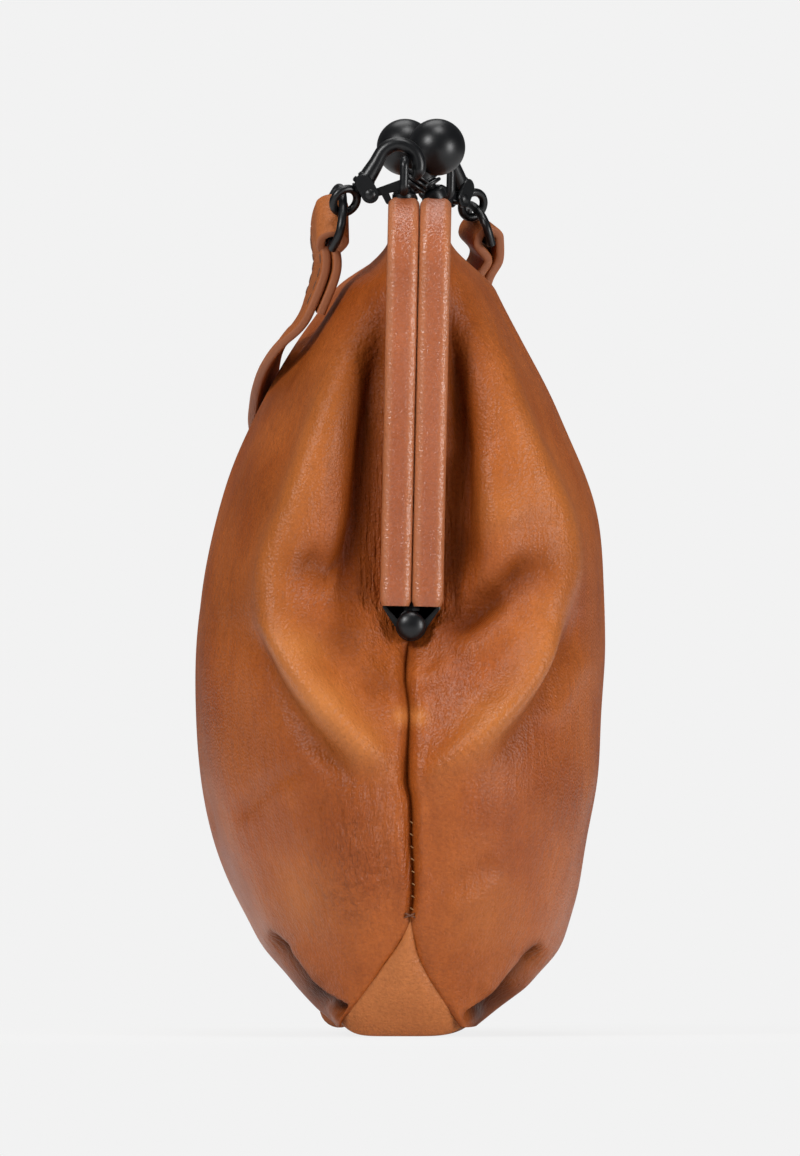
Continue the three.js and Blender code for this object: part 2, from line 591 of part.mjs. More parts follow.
function clasp(end, place, turn, drop, eyeTurn, pull, barHint) {
  const lugGroup = new THREE.Group();
  lugGroup.position.copy(place);
  lugGroup.rotation.z = turn;
  frame.add(lugGroup);
  const low = FIT - LUG_RISE;
  const lugShape = new THREE.Shape([
    [-LUG_HALF_WIDTH, low], [LUG_HALF_WIDTH, low], [LUG_HALF_WIDTH, -LUG_BAR],
    [LUG_HALF_WIDTH - LUG_SLOPE, LUG_BAR], [LUG_SLOPE - LUG_HALF_WIDTH, LUG_BAR], [-LUG_HALF_WIDTH, -LUG_BAR],
  ].map(([x, z]) => new THREE.Vector2(x, z)));
  const clear = LUG_HALF_WIDTH - LUG_SIDE;
  lugShape.holes.push(new THREE.Path([
    [-clear, low + LUG_FOOT], [clear, low + LUG_FOOT], [clear, -LUG_BAR - LUG_CORNER],
    [clear - LUG_CORNER, -LUG_BAR], [LUG_CORNER - clear, -LUG_BAR], [-clear, -LUG_BAR - LUG_CORNER],
  ].map(([x, z]) => new THREE.Vector2(x, z))));
  const lug = new THREE.ExtrudeGeometry(lugShape, { depth: 2 * LUG_BAR, bevelEnabled: false });
  lug.rotateX(Math.PI / 2);
  lug.translate(0, LUG_BAR, 0);
  piece(end + "_lug", lug, black, lugGroup);

  const group = new THREE.Group();
  group.rotation.x = -drop;
  lugGroup.add(group);
  const curve = new THREE.CatmullRomCurve3(HOOK_LINE.map(inHook));
  let hook = solid(wire(curve.getPoints(22), AXIS, WIRE, 8));
  hook = hook.add(solid(rod(inHook(BARREL_START), shankWay, BARREL_LENGTH, BARREL)));
  for (const from of [-EAR_OUTER, EAR_INNER]) {
    const ear = flat(link(GATE_PIVOT, EAR_ROOT, EAR_RADIUS), from, from + EAR_OUTER - EAR_INNER);
    hook = hook.add(solid(ear));
  }
  const [py, pz] = GATE_PIVOT;
  hook = hook.subtract(solid(pinAlongX(-EAR_INNER, EAR_INNER, GATE_SLOT, py, pz)));
  hook = hook.subtract(solid(pinAlongX(-EAR_OUTER - 1, EAR_OUTER + 1, PIN_RADIUS + FIT / 2, py, pz)));
  const bore = barrelEnd.clone().addScaledVector(shankWay, -SWIVEL_DEPTH);
  hook = hook.subtract(solid(rod(bore, shankWay, SWIVEL_DEPTH + 1, SWIVEL_STEM + FIT)));
  piece(end + "_hook", geometryOf(hook), black, group);

  let gate = solid(flat(link(GATE_PIVOT, GATE_TIP, GATE_ARM), -GATE_HALF, GATE_HALF));
  gate = gate.add(solid(pinAlongX(-GATE_HALF, GATE_HALF, GATE_EYE, py, pz)));
  gate = gate.subtract(solid(pinAlongX(-EAR_OUTER, EAR_OUTER, PIN_RADIUS + FIT / 2, py, pz)));
  piece(end + "_gate", geometryOf(gate), black, group);
  piece(end + "_gate_pin", pinAlongX(-EAR_OUTER, EAR_OUTER, PIN_RADIUS, py, pz, 12), black, group);

  const leaf = [];
  for (const [radius, step] of [[GATE_EYE + FIT, 1], [GATE_EYE + FIT + LEAF, -1]]) {
    for (let i = 0; i <= 6; i += 1) {
      const share = step > 0 ? i / 6 : 1 - i / 6;
      const a = THREE.MathUtils.degToRad(LEAF_FROM + (LEAF_TO - LEAF_FROM) * share);
      leaf.push([py + radius * Math.cos(a), pz + radius * Math.sin(a)]);
    }
  }
  piece(end + "_gate_spring", flat(leaf, -GATE_HALF, GATE_HALF), steel, group);

  const ring = new THREE.TorusGeometry(EYE_RADIUS, EYE_WIRE, 8, 20);
  ring.rotateY(Math.PI / 2);
  ring.applyMatrix4(new THREE.Matrix4().makeRotationAxis(shankWay, THREE.MathUtils.degToRad(eyeTurn)));
  ring.translate(eyeCentre.x, eyeCentre.y, eyeCentre.z);
  const stemStart = barrelEnd.clone().addScaledVector(shankWay, FIT - SWIVEL_DEPTH);
  const stem = rod(stemStart, shankWay, SWIVEL_DEPTH + FIT + EYE_WIRE, SWIVEL_STEM);
  piece(end + "_swivel_eye", geometryOf(solid(ring).add(solid(stem))), black, group);

  const dWay = new THREE.Vector3(...pull).normalize();
  const dBarWay = new THREE.Vector3(...barHint).projectOnPlane(dWay).normalize();
  const dBar = dBow.clone().addScaledVector(dWay, D_DEPTH);
  const half = D_HALF_BAR;
  const dLine = [];
  for (let i = 0; i <= 5; i += 1) dLine.push([half - (2 * half * i) / 5, 0]);
  for (let i = 1; i <= 13; i += 1) {
    const a = Math.PI + (i / 14) * Math.PI;
    dLine.push([half * Math.cos(a), D_DEPTH * Math.abs(Math.sin(a)) ** D_SQUARE]);
  }
  const dPoints = dLine.map(([w, d]) => dBar.clone().addScaledVector(dBarWay, w).addScaledVector(dWay, -d));
  piece(end + "_d_ring", wire(dPoints, dBarWay.clone().cross(dWay), D_WIRE, 8, true), black, group);
  pouch.updateMatrixWorld(true);
  const turned = (v) => v.clone().transformDirection(group.matrixWorld);
  return { at: group.localToWorld(dBar.clone()), along: turned(dBarWay), away: turned(dWay) };
}
const lugHeight = FRAME_HEIGHT + LUG_RISE;
const nearBar = clasp(
  "near", new THREE.Vector3(-LUG_X, barMiddle, lugHeight), 0, 0, NEAR_EYE_TURN, NEAR_D_WAY, NEAR_BAR_WAY);
const farBar = clasp(
  "far", new THREE.Vector3(LUG_X, -barMiddle, lugHeight), Math.PI + THREE.MathUtils.degToRad(FAR_TURN),
  THREE.MathUtils.degToRad(FAR_DROP), FAR_EYE_TURN, FAR_D_WAY, FAR_BAR_WAY);

// A flat strap along points, each with the direction that its outer face looks
function ribbon(stations) {
  const count = stations.length;
  const rings = stations.map(({ at, out }, i) => {
    const before = stations[Math.max(i - 1, 0)].at;
    const after = stations[Math.min(i + 1, count - 1)].at;
    const way = new THREE.Vector3().subVectors(after, before).normalize();
    const face = out.clone().projectOnPlane(way).normalize();
    const across = way.clone().cross(face);
    return [[-1, -1], [1, -1], [1, 1], [-1, 1]].map(([a, b]) => at.clone()
      .addScaledVector(across, (a * STRAP_WIDTH) / 2).addScaledVector(face, (b * STRAP) / 2));
  });
  return loft(rings);
}

// A smooth run of stations through chosen points
function strapRun(chosen, steps) {
  const line = new THREE.CatmullRomCurve3(chosen.map((c) => c.at), false, "centripetal");
  const outer = new THREE.CatmullRomCurve3(chosen.map((c) => c.out), false, "centripetal");
  const station = (_, i) => ({ at: line.getPoint(i / steps), out: outer.getPoint(i / steps) });
  return Array.from({ length: steps + 1 }, station);
}

// The strap's sewn end: a short ply, a turn round the D-ring's bar, and the start of the long ply
const station = (row) => (
  { at: new THREE.Vector3(...row.slice(0, 3)), out: new THREE.Vector3(...row.slice(3)) });
function sewnEnd({ at, along: bar, away }, plies) {
  const radius = D_WIRE + LOOP_EASE + FIT + STRAP / 2;
  const face = bar.clone().cross(away);
  const middles = [{ at: at.clone().addScaledVector(away, PLY_START), out: face }, ...plies.map(station)];
  const ply = (hand) => middles.map((middle, i) => {
    const before = i > 0 ? middles[i - 1].at : at;
    const after = middles[Math.min(i + 1, middles.length - 1)].at;
    const ahead = new THREE.Vector3().subVectors(after, before).normalize();
    const out = middle.out.clone().projectOnPlane(ahead).normalize().multiplyScalar(hand);
    return { at: middle.at.clone().addScaledVector(out, PLY_HALF), out };
  });
  const loop = [];
  for (let i = 0; i <= 6; i += 1) {
    const a = -Math.PI / 2 - (i / 6) * Math.PI;
    const out = away.clone().multiplyScalar(Math.cos(a)).addScaledVector(face, Math.sin(a));
    loop.push({ at: at.clone().addScaledVector(out, radius), out });
  }
  return [...ply(-1).reverse(), ...loop, ...ply(1)];
}
const hankY = (run) => ((HANK_RUNS - 1) / 2 - run) * HANK_PITCH;
function strapEnd(name, bar, plies, route, run, steps) {
  const out = new THREE.Vector3(0, Math.sign(hankY(run)), 0);
  const leads = [2 * HANK_LEAD, HANK_LEAD, 0].map((lead) => (
    { at: new THREE.Vector3(HANK_X, hankY(run), HANK_HIGH + FIT + lead), out }));
  const chosen = [...sewnEnd(bar, plies), ...route.map(station), ...leads];
  piece(name, ribbon(strapRun(chosen, steps)), tan);
}
strapEnd("strap_near_end", nearBar, NEAR_PLIES, NEAR_ROUTE, 0, 72);
strapEnd("strap_far_end", farBar, FAR_PLIES, FAR_ROUTE, HANK_RUNS - 1, 56);

// The spare length, folded to and fro into an upright hank
const hankLine = [];
for (let run = 0; run < HANK_RUNS; run += 1) {
  const down = run % 2 === 0;
  const ends = down ? [HANK_HIGH, HANK_LOW] : [HANK_LOW, HANK_HIGH];
  for (let i = 0; i <= 3; i += 1) {
    hankLine.push(new THREE.Vector3(HANK_X, hankY(run), ends[0] + ((ends[1] - ends[0]) * i) / 3));
  }
  if (run === HANK_RUNS - 1) break;
  for (let i = 1; i < 6; i += 1) {
    const a = (i / 6) * Math.PI;
    const bend = (HANK_PITCH / 2) * Math.sin(a) * (down ? -1 : 1);
    const shift = (HANK_PITCH / 2) * (1 - Math.cos(a));
    hankLine.push(new THREE.Vector3(HANK_X, hankY(run) - shift, ends[1] + bend));
  }
}
const hankStations = hankLine.map((at, i) => {
  const before = hankLine[Math.max(i - 1, 0)];
  const after = hankLine[Math.min(i + 1, hankLine.length - 1)];
  return { at, out: new THREE.Vector3().subVectors(after, before).cross(AXIS) };
});
piece("strap_hank", ribbon(hankStations), tan);
let leastGap = Infinity;
hankLine.forEach((a, i) => hankLine.slice(i + 4).forEach((b) => {
  leastGap = Math.min(leastGap, a.distanceTo(b) - STRAP);
}));
console.log("least gap of the hank to itself " + leastGap.toFixed(2) + " mm");

// A leather band that holds the hank together
const bandX = STRAP_WIDTH / 2 + FIT;
const bandY = ((HANK_RUNS - 1) * HANK_PITCH + STRAP) / 2 + FIT;
const rectangle = (x, y) => [[-x, -y], [x, -y], [x, y], [-x, y]].map(([a, b]) => new THREE.Vector2(a, b));
const band = new THREE.Shape(rectangle(bandX + TIE, bandY + TIE));
band.holes.push(new THREE.Path(rectangle(bandX, bandY)));
const tie = new THREE.ExtrudeGeometry(band, { depth: TIE_HEIGHT, bevelEnabled: false });
tie.translate(HANK_X, 0, TIE_Z - TIE_HEIGHT / 2);
piece("strap_tie", tie, tan);

export default pouch;
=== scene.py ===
"""Dresses the phone pouch: soft tan leather on a kiss-lock frame, black hardware and a clip-on strap."""

import math

import bpy
import numpy as np
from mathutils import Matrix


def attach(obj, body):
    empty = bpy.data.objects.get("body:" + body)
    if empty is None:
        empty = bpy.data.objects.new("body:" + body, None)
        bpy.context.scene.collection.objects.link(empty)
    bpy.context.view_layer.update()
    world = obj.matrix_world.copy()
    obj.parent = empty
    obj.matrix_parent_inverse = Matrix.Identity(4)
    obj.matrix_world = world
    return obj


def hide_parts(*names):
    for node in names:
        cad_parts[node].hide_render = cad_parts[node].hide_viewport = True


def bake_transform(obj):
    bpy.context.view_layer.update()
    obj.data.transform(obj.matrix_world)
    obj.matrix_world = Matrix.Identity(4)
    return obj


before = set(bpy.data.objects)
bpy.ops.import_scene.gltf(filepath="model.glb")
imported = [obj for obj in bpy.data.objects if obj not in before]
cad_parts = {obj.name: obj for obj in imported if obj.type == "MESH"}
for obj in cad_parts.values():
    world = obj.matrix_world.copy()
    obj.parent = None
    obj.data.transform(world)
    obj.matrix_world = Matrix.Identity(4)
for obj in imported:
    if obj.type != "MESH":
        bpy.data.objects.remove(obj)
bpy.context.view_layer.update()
MM = 0.001

# Places shared with the solids, in millimetres
HINGE_Y = -2.4
HINGE_Z = 93.0
LEAN = math.radians(1.2)
LEG_X = 54.5
BAR_WIDTH = 7.0
BAR_DEPTH = 8.0
BAR_GAP = 0.2
FRAME_HEIGHT = 97.0
FRAME_CORNER = 15.0
LEG_START = 4.4
BODY_FLOOR = 2.0
BODY_TOP = 183.0
GUSSET_TIP_Z = 27.0
# Side seam: height and y
SEAM_PATH = [
    (27, -2.2), (30, -2.7), (36, -2.9), (45, -2.5), (53, -2.4), (58, -1.5),
    (67, -1.8), (74, -2.0), (81, -1.2), (88, -1.7), (93, -2.4),
]
# Edges of the folded base, for the rear and the front: height and distance from y = 0
GUSSET_REAR = [
    (2, 13.7), (3.9, 12.9), (6, 10.9), (8.5, 8.8), (11.5, 6.6), (16.4, 3.2),
    (21.3, -0.3), (25, -1.9), (27, -2.2),
]
GUSSET_FRONT = [(2, 13.6), (5, 11.5), (8.1, 9.3), (13.6, 5.8), (18.4, 3.6), (23, 2.6), (27, 2.2)]
# Depth of the filled body, for the rear and the front: height and distance from y = 0
REAR_PROFILE = [
    (2, 14.6), (12, 24.5), (30, 37), (50, 44), (76, 46.7), (100, 45.6),
    (124, 39.7), (142, 32), (160, 21), (183, 5),
]
FRONT_PROFILE = [
    (2, 17.5), (12, 30), (30, 39.2), (50, 43.8), (78, 46.5), (102, 46),
    (126, 41.7), (142, 36.1), (158, 27.5), (183, 14),
]
# Half width of the filled body, and of the line where it is pinched at the seams and the frame's legs
FULL_WIDTH = [
    (2, 50.5), (27, 62), (45, 68), (62, 71), (85, 71), (110, 66), (140, 58), (160, 53), (175, 49), (183, 47),
]
PINCHED_WIDTH = [
    (2, 50.5), (27, 61.5), (45, 65), (65, 65), (78, 61), (87, 54.5), (93, 51.5), (101, 51.5), (165, 52),
    (176, 51.5), (183, 48),
]
# How far the pinch reaches from the seam or the leg
PINCH_REACH = [(2, 4), (30, 5), (60, 8), (80, 14), (95, 15), (115, 11), (150, 8), (183, 4)]
# Powers in the body's rounded cross-section: across its width, through its depth, and in the pinch
WIDTH_POWER = 0.9
DEPTH_POWER = 0.82
PINCH_POWER = 1.6
# Signs of the four corners of a rectangle, in turn
CORNERS = ((1, 1), (-1, 1), (-1, -1), (1, -1))


def along(pairs, t):
    """A smooth value at t through pairs of position and value.

    The pieces are cubic, and the slope at each pair comes from the pairs beside it.
    """
    pairs = np.array(pairs, float)
    at, value = pairs[:, 0], pairs[:, 1]
    low = np.maximum(np.arange(len(at)) - 1, 0)
    high = np.minimum(np.arange(len(at)) + 1, len(at) - 1)
    slope = (value[high] - value[low]) / (at[high] - at[low])
    t = np.clip(np.asarray(t, float), at[0], at[-1])
    i = np.clip(np.searchsorted(at, t, side="right") - 1, 0, len(at) - 2)
    span = at[i + 1] - at[i]
    s = (t - at[i]) / span
    return (
        (2 * s**3 - 3 * s**2 + 1) * value[i]
        + (s**3 - 2 * s**2 + s) * span * slope[i]
        + (3 * s**2 - 2 * s**3) * value[i + 1]
        + (s**3 - s**2) * span * slope[i + 1]
    )


def smooth(low, high, t):
    """0 before low, 1 after high, and a smooth step between them."""
    s = np.clip((np.asarray(t, float) - low) / (high - low), 0, 1)
    return s * s * (3 - 2 * s)


def within(rise, fall, t):
    """1 between a smooth rise over one pair of places and a smooth fall over another, and 0 outside."""
    return smooth(*rise, t) * (1 - smooth(*fall, t))


def bell(distance, reach):
    """1 at distance 0 and less on either side: exp(-(distance / reach)^2)."""
    return np.exp(-((distance / reach) ** 2))


def unit(v):
    """The vectors in v at length 1."""
    v = np.asarray(v, float)
    return v / np.maximum(np.linalg.norm(v, axis=-1, keepdims=True), 1e-9)


def waves(a, b, lengths, seed):
    """Soft unevenness, mostly between -1 and 1: sine waves of the given lengths in mixed directions."""
    rng = np.random.default_rng(seed)
    total = np.zeros_like(a)
    for length in lengths:
        turn, phase = rng.uniform(0, 2 * math.pi, 2)
        total += np.sin(2 * math.pi * (a * math.cos(turn) + b * math.sin(turn)) / length + phase)
    return total / math.sqrt(len(lengths))


def run_along(line):
    """The distance along a line from its start to each of its points."""
    step = np.linalg.norm(np.diff(line[:, :3], axis=0), axis=1)
    return np.concatenate([[0], np.cumsum(step)])


def through(points, count):
    """Count points evenly spaced on a smooth curve through the given points.

    The curve's parameter grows by the square root of each chord. Values after x, y and z go along with them.
    """
    points = np.array(points, float)
    step = np.linalg.norm(np.diff(points[:, :3], axis=0), axis=1) ** 0.5
    at = np.concatenate([[0], np.cumsum(step)])
    fine = np.linspace(0, at[-1], 40 * len(points))
    line = np.stack([along(np.stack([at, points[:, k]], 1), fine) for k in range(points.shape[1])], 1)
    run = run_along(line)
    want = np.linspace(0, run[-1], count)
    return np.stack([np.interp(want, run, line[:, k]) for k in range(points.shape[1])], 1)


# Mesh pieces: each is a pair of points in millimetres and faces
def sheet_part(points, flip=False):
    """A grid of points, rows by columns, as quads."""
    rows, columns = points.shape[:2]
    a = (np.arange(rows - 1)[:, None] * columns + np.arange(columns - 1)).ravel()
    quads = np.stack([a, a + 1, a + columns + 1, a + columns], 1)
    return points.reshape(-1, 3), quads[:, ::-1] if flip else quads


def tube_part(rings, closed=False):
    """Rings of points joined in turn. An open tube has a fan of triangles at each end."""
    count, around = rings.shape[:2]
    last = count if closed else count - 1
    i = np.arange(last)[:, None] * around
    k = ((np.arange(last) + 1) % count)[:, None] * around
    j = np.arange(around)[None]
    n = (j + 1) % around
    faces = np.stack([i + j, i + n, k + n, k + j], -1).reshape(-1, 4).tolist()
    points = rings.reshape(-1, 3)
    if not closed:
        ends = np.stack([rings[0].mean(0), rings[-1].mean(0)])
        first, final = len(points), len(points) + 1
        points = np.concatenate([points, ends])
        start = (count - 1) * around
        for j in range(around):
            n = (j + 1) % around
            faces.append((first, n, j))
            faces.append((final, start + j, start + n))
    return points, faces


def wire_part(line, normal, radius, around=20, closed=False):
    """A round wire along a line, with a radius for all or for each point. Normal isn't along the line."""
    line = np.asarray(line, float)
    if closed:
        way = unit(np.roll(line, -1, 0) - np.roll(line, 1, 0))
    else:
        way = unit(np.gradient(line, axis=0))
    side = unit(np.cross(way, np.asarray(normal, float)))
    other = np.cross(side, way)
    turn = np.linspace(0, 2 * math.pi, around, endpoint=False)
    radius = np.broadcast_to(np.asarray(radius, float), (len(line),))[:, None, None]
    rim = np.cos(turn)[:, None] * side[:, None] + np.sin(turn)[:, None] * other[:, None]
    return tube_part(line[:, None] + radius * rim, closed)


def lathe_part(profile, start, way, around=40):
    """A body of revolution: pairs of radius and distance along way from start."""
    profile = np.array(profile, float)
    way = unit(way)
    side = unit(np.cross(way, [0.31, 0.52, 0.79]))
    other = np.cross(way, side)
    turn = np.linspace(0, 2 * math.pi, around, endpoint=False)
    rim = np.cos(turn)[:, None] * side + np.sin(turn)[:, None] * other
    rings = np.asarray(start, float) + profile[:, 1, None, None] * way + profile[:, 0, None, None] * rim[None]
    return tube_part(rings)


def rounded(half_a, half_b, corner, steps):
    """Points round a rectangle with rounded corners, with steps points on each corner."""
    rim = []
    for quarter, (a, b) in enumerate(CORNERS):
        for angle in quarter * math.pi / 2 + np.linspace(0, math.pi / 2, steps):
            out, over = corner * math.cos(angle), corner * math.sin(angle)
            rim.append((a * (half_a - corner) + out, b * (half_b - corner) + over))
    return np.array(rim)


def make(name, parts, materials, smooth_angle=40):
    """One object at the origin from mesh pieces: points, faces and the material's number if it isn't 0."""
    points, faces, index = [], [], []
    for part_points, part_faces, *number in parts:
        start = sum(len(p) for p in points)
        points.append(np.asarray(part_points, float))
        faces += [[int(start + k) for k in face] for face in part_faces]
        index += (number or [0]) * len(part_faces)
    mesh = bpy.data.meshes.new(name)
    mesh.from_pydata((np.concatenate(points) * MM).tolist(), [], faces)
    for material in materials:
        mesh.materials.append(material)
    mesh.polygons.foreach_set("material_index", index)
    mesh.polygons.foreach_set("use_smooth", [True] * len(faces))
    mesh.update()
    mesh.validate()
    obj = bpy.data.objects.new(name, mesh)
    bpy.context.scene.collection.objects.link(obj)
    if smooth_angle:
        mesh.set_sharp_from_angle(angle=math.radians(smooth_angle))
    return obj


# Materials
def linear(code):
    """A colour code such as B06A30 as linear light."""
    values = [int(code[i:i + 2], 16) / 255 for i in (0, 2, 4)]
    return [v / 12.92 if v <= 0.04045 else ((v + 0.055) / 1.055) ** 2.4 for v in values] + [1.0]


def feed(tree, node, inputs):
    """Set a node's inputs to values, or join them to other nodes' outputs."""
    for key, value in dict(inputs).items():
        if isinstance(value, bpy.types.NodeSocket):
            tree.links.new(value, node.inputs[key])
        else:
            node.inputs[key].default_value = value


def add_node(tree, kind, inputs=(), **settings):
    """A node with its settings and inputs."""
    node = tree.nodes.new(kind)
    for key, value in settings.items():
        setattr(node, key, value)
    feed(tree, node, inputs)
    return node


def new_material(name):
    """An empty material and its Principled shader."""
    material = bpy.data.materials.new(name)
    material.use_nodes = True
    tree = material.node_tree
    tree.nodes.clear()
    shader = add_node(tree, "ShaderNodeBsdfPrincipled")
    add_node(tree, "ShaderNodeOutputMaterial", {"Surface": shader.outputs["BSDF"]})
    return material, tree, shader


def mixed(tree, share, a, b):
    """The colour between a and b at a share."""
    return add_node(tree, "ShaderNodeMix", {0: share, 6: a, 7: b}, data_type="RGBA").outputs[2]


def ramp(tree, value, low, high, start=0.0, end=1.0):
    """A value stretched so that low becomes start and high becomes end."""
    return add_node(tree, "ShaderNodeMapRange", {0: value, 1: low, 2: high, 3: start, 4: end}).outputs[0]


def noise(tree, place, size_mm, detail=3.0, rough=0.55):
    """Cloudy noise whose blotches are about size_mm across."""
    inputs = {"Vector": place, "Scale": 1 / (size_mm * MM), "Detail": detail, "Roughness": rough}
    return add_node(tree, "ShaderNodeTexNoise", inputs).outputs[0]


def mapped(tree, place, scale, turn=0.0):
    """Texture places stretched along each axis and turned about X."""
    inputs = {"Vector": place, "Scale": scale, "Rotation": (turn, 0.0, 0.0)}
    return add_node(tree, "ShaderNodeMapping", inputs).outputs[0]


def times(tree, a, b):
    """The product of two values."""
    return add_node(tree, "ShaderNodeMath", {0: a, 1: b}, operation="MULTIPLY").outputs[0]


def stored(tree, name):
    """A value kept on the mesh, or 0 where the mesh has none."""
    return add_node(tree, "ShaderNodeAttribute", attribute_name=name).outputs["Fac"]


# Sizes of what is seen in the leather, in millimetres across
CLOUD_SIZE = 22.0
STREAK_SIZE = 2.6
SPECK_SIZE = 0.9
GRAIN_SIZE = 0.65
PORE_SIZE = 0.5
RIPPLE_SIZE = 2.2
CRINKLE_SIZE = 1.5
RUMPLE_SIZE = 2.2
RUB_SIZE = 14.0
# Near-black of the painted shadow in the deepest creases
CREASE_SHADOW_COLOUR = "220D04"
# Unit length of the lining's bands, which stand about a third of it apart
WEAVE_UNIT = 22.0


def leather(name, base, dark, light, roughness, rubbed_and_lit="C98662", gloss=0.27):
    """Aniline leather: cloudy, streaked and specked colour over a fine grain.

    Values kept on the mesh add painted shade in hollows, grooves and seams, which also dulls the shine there;
    paler rubbed edges mixed with painted highlights on ridges and lit slopes; painted near-black shadow in
    the deepest creases; and upright and slanting wrinkles (crinkle, rumple).
    """
    material, tree, shader = new_material(name)
    place = add_node(tree, "ShaderNodeTexCoord").outputs["Object"]
    hanging = mapped(tree, place, (1.0, 1.0, 0.16))
    slanting = mapped(tree, place, (1.0, 1.0, 0.2), math.radians(28))
    cloud = ramp(tree, noise(tree, place, CLOUD_SIZE), 0.35, 0.65)
    streak = ramp(tree, noise(tree, hanging, STREAK_SIZE, 4.0), 0.35, 0.7)
    speck = ramp(tree, noise(tree, place, SPECK_SIZE, 4.0, 0.65), 0.4, 0.7)
    painted_shade = stored(tree, "painted_shade")
    colour = linear(base)
    # Cloud, streak and speck are the leather's own tones; painted shade, painted highlights mixed with rubbed
    # wear and painted crease shadow are mixed in after them
    for share, code in (
        (cloud, light),
        (times(tree, streak, 0.14), dark),
        (times(tree, speck, 0.26), dark),
        (painted_shade, dark),
        (stored(tree, "wear_and_highlight"), rubbed_and_lit),
        (stored(tree, "crease_shadow"), CREASE_SHADOW_COLOUR),
    ):
        colour = mixed(tree, share, colour, linear(code))
    pebbles = {"Vector": place, "Scale": 1 / (GRAIN_SIZE * MM), "Randomness": 1.0}
    normal = None
    for height, strength, depth_mm in (
        (add_node(tree, "ShaderNodeTexVoronoi", pebbles).outputs["Distance"], 0.45, 0.3),
        (noise(tree, place, PORE_SIZE, 2.0), 0.4, 0.3),
        (noise(tree, hanging, RIPPLE_SIZE), 0.2, 0.6),
        (times(tree, noise(tree, hanging, CRINKLE_SIZE), stored(tree, "crinkle")), 0.85, 1.5),
        (times(tree, noise(tree, slanting, RUMPLE_SIZE), stored(tree, "rumple")), 1.0, 3.4),
    ):
        inputs = {"Height": height, "Strength": strength, "Distance": depth_mm * MM}
        if normal:
            inputs["Normal"] = normal
        normal = add_node(tree, "ShaderNodeBump", inputs).outputs[0]
    finish = ramp(tree, noise(tree, place, RUB_SIZE, 4.0), 0.3, 0.7, roughness - 0.05, roughness + 0.07)
    # The shine drops where shade is painted
    shine = ramp(tree, painted_shade, 0.0, 0.7, gloss, 0.05)
    feed(tree, shader, {
        "Base Color": colour, "Roughness": finish, "Normal": normal, "Specular IOR Level": shine,
    })
    return material


def plain(name, code, roughness, metal=0.0, specular=0.5):
    """One even colour and finish."""
    material, tree, shader = new_material(name)
    feed(tree, shader, {
        "Base Color": linear(code), "Roughness": roughness, "Metallic": metal, "Specular IOR Level": specular,
    })
    return material


def woven(name, code, dark):
    """Cotton lining: an even cloth with faint slanting bands of a second colour."""
    material, tree, shader = new_material(name)
    place = add_node(tree, "ShaderNodeTexCoord").outputs["Object"]
    threads = {"Vector": place, "Scale": 1 / (WEAVE_UNIT * MM), "Distortion": 3.0}
    weave = add_node(tree, "ShaderNodeTexWave", threads, bands_direction="DIAGONAL").outputs["Fac"]
    feed(tree, shader, {"Base Color": mixed(tree, weave, linear(code), linear(dark)), "Roughness": 0.9})
    return material


def repaint(node, material):
    """One material on a solid that is shown as it is."""
    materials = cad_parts[node].data.materials
    materials.clear()
    materials.append(material)


# Leathers: base colour, darker colour for streaks, specks and painted shade, lighter cloud colour, roughness,
# then the paler colour for rubbed edges and painted highlights, and the shine
BODY_LEATHER = leather("tan aniline leather", "904514", "461803", "A25520", 0.41, "BC763A")
FRAME_LEATHER = leather("brown calf leather on the frame", "904C2B", "622E14", "9C5634", 0.3, "C88A5E", 0.5)
GUSSET_LEATHER = leather("tan leather of the base", "A45F30", "6A3716", "AE6836", 0.45)
STRAP_LEATHER = leather("tan strap leather", "94522A", "62340F", "9E5C31", 0.5, "C98662", 0.14)
CUT_EDGE = plain("cut leather edge", "8A4F2C", 0.7)
BLACK_METAL = plain("black lacquered metal", "060709", 0.36, 0.0, 0.36)
SPRING_STEEL = plain("spring steel", "8C8C8C", 0.3, 1.0)
THREAD = plain("brown waxed thread", "5C331A", 0.65)
SEAM_THREAD = plain("pale waxed thread", "A87A4E", 0.6)
LINING = woven("cotton lining", "8E6E4E", "84654A")


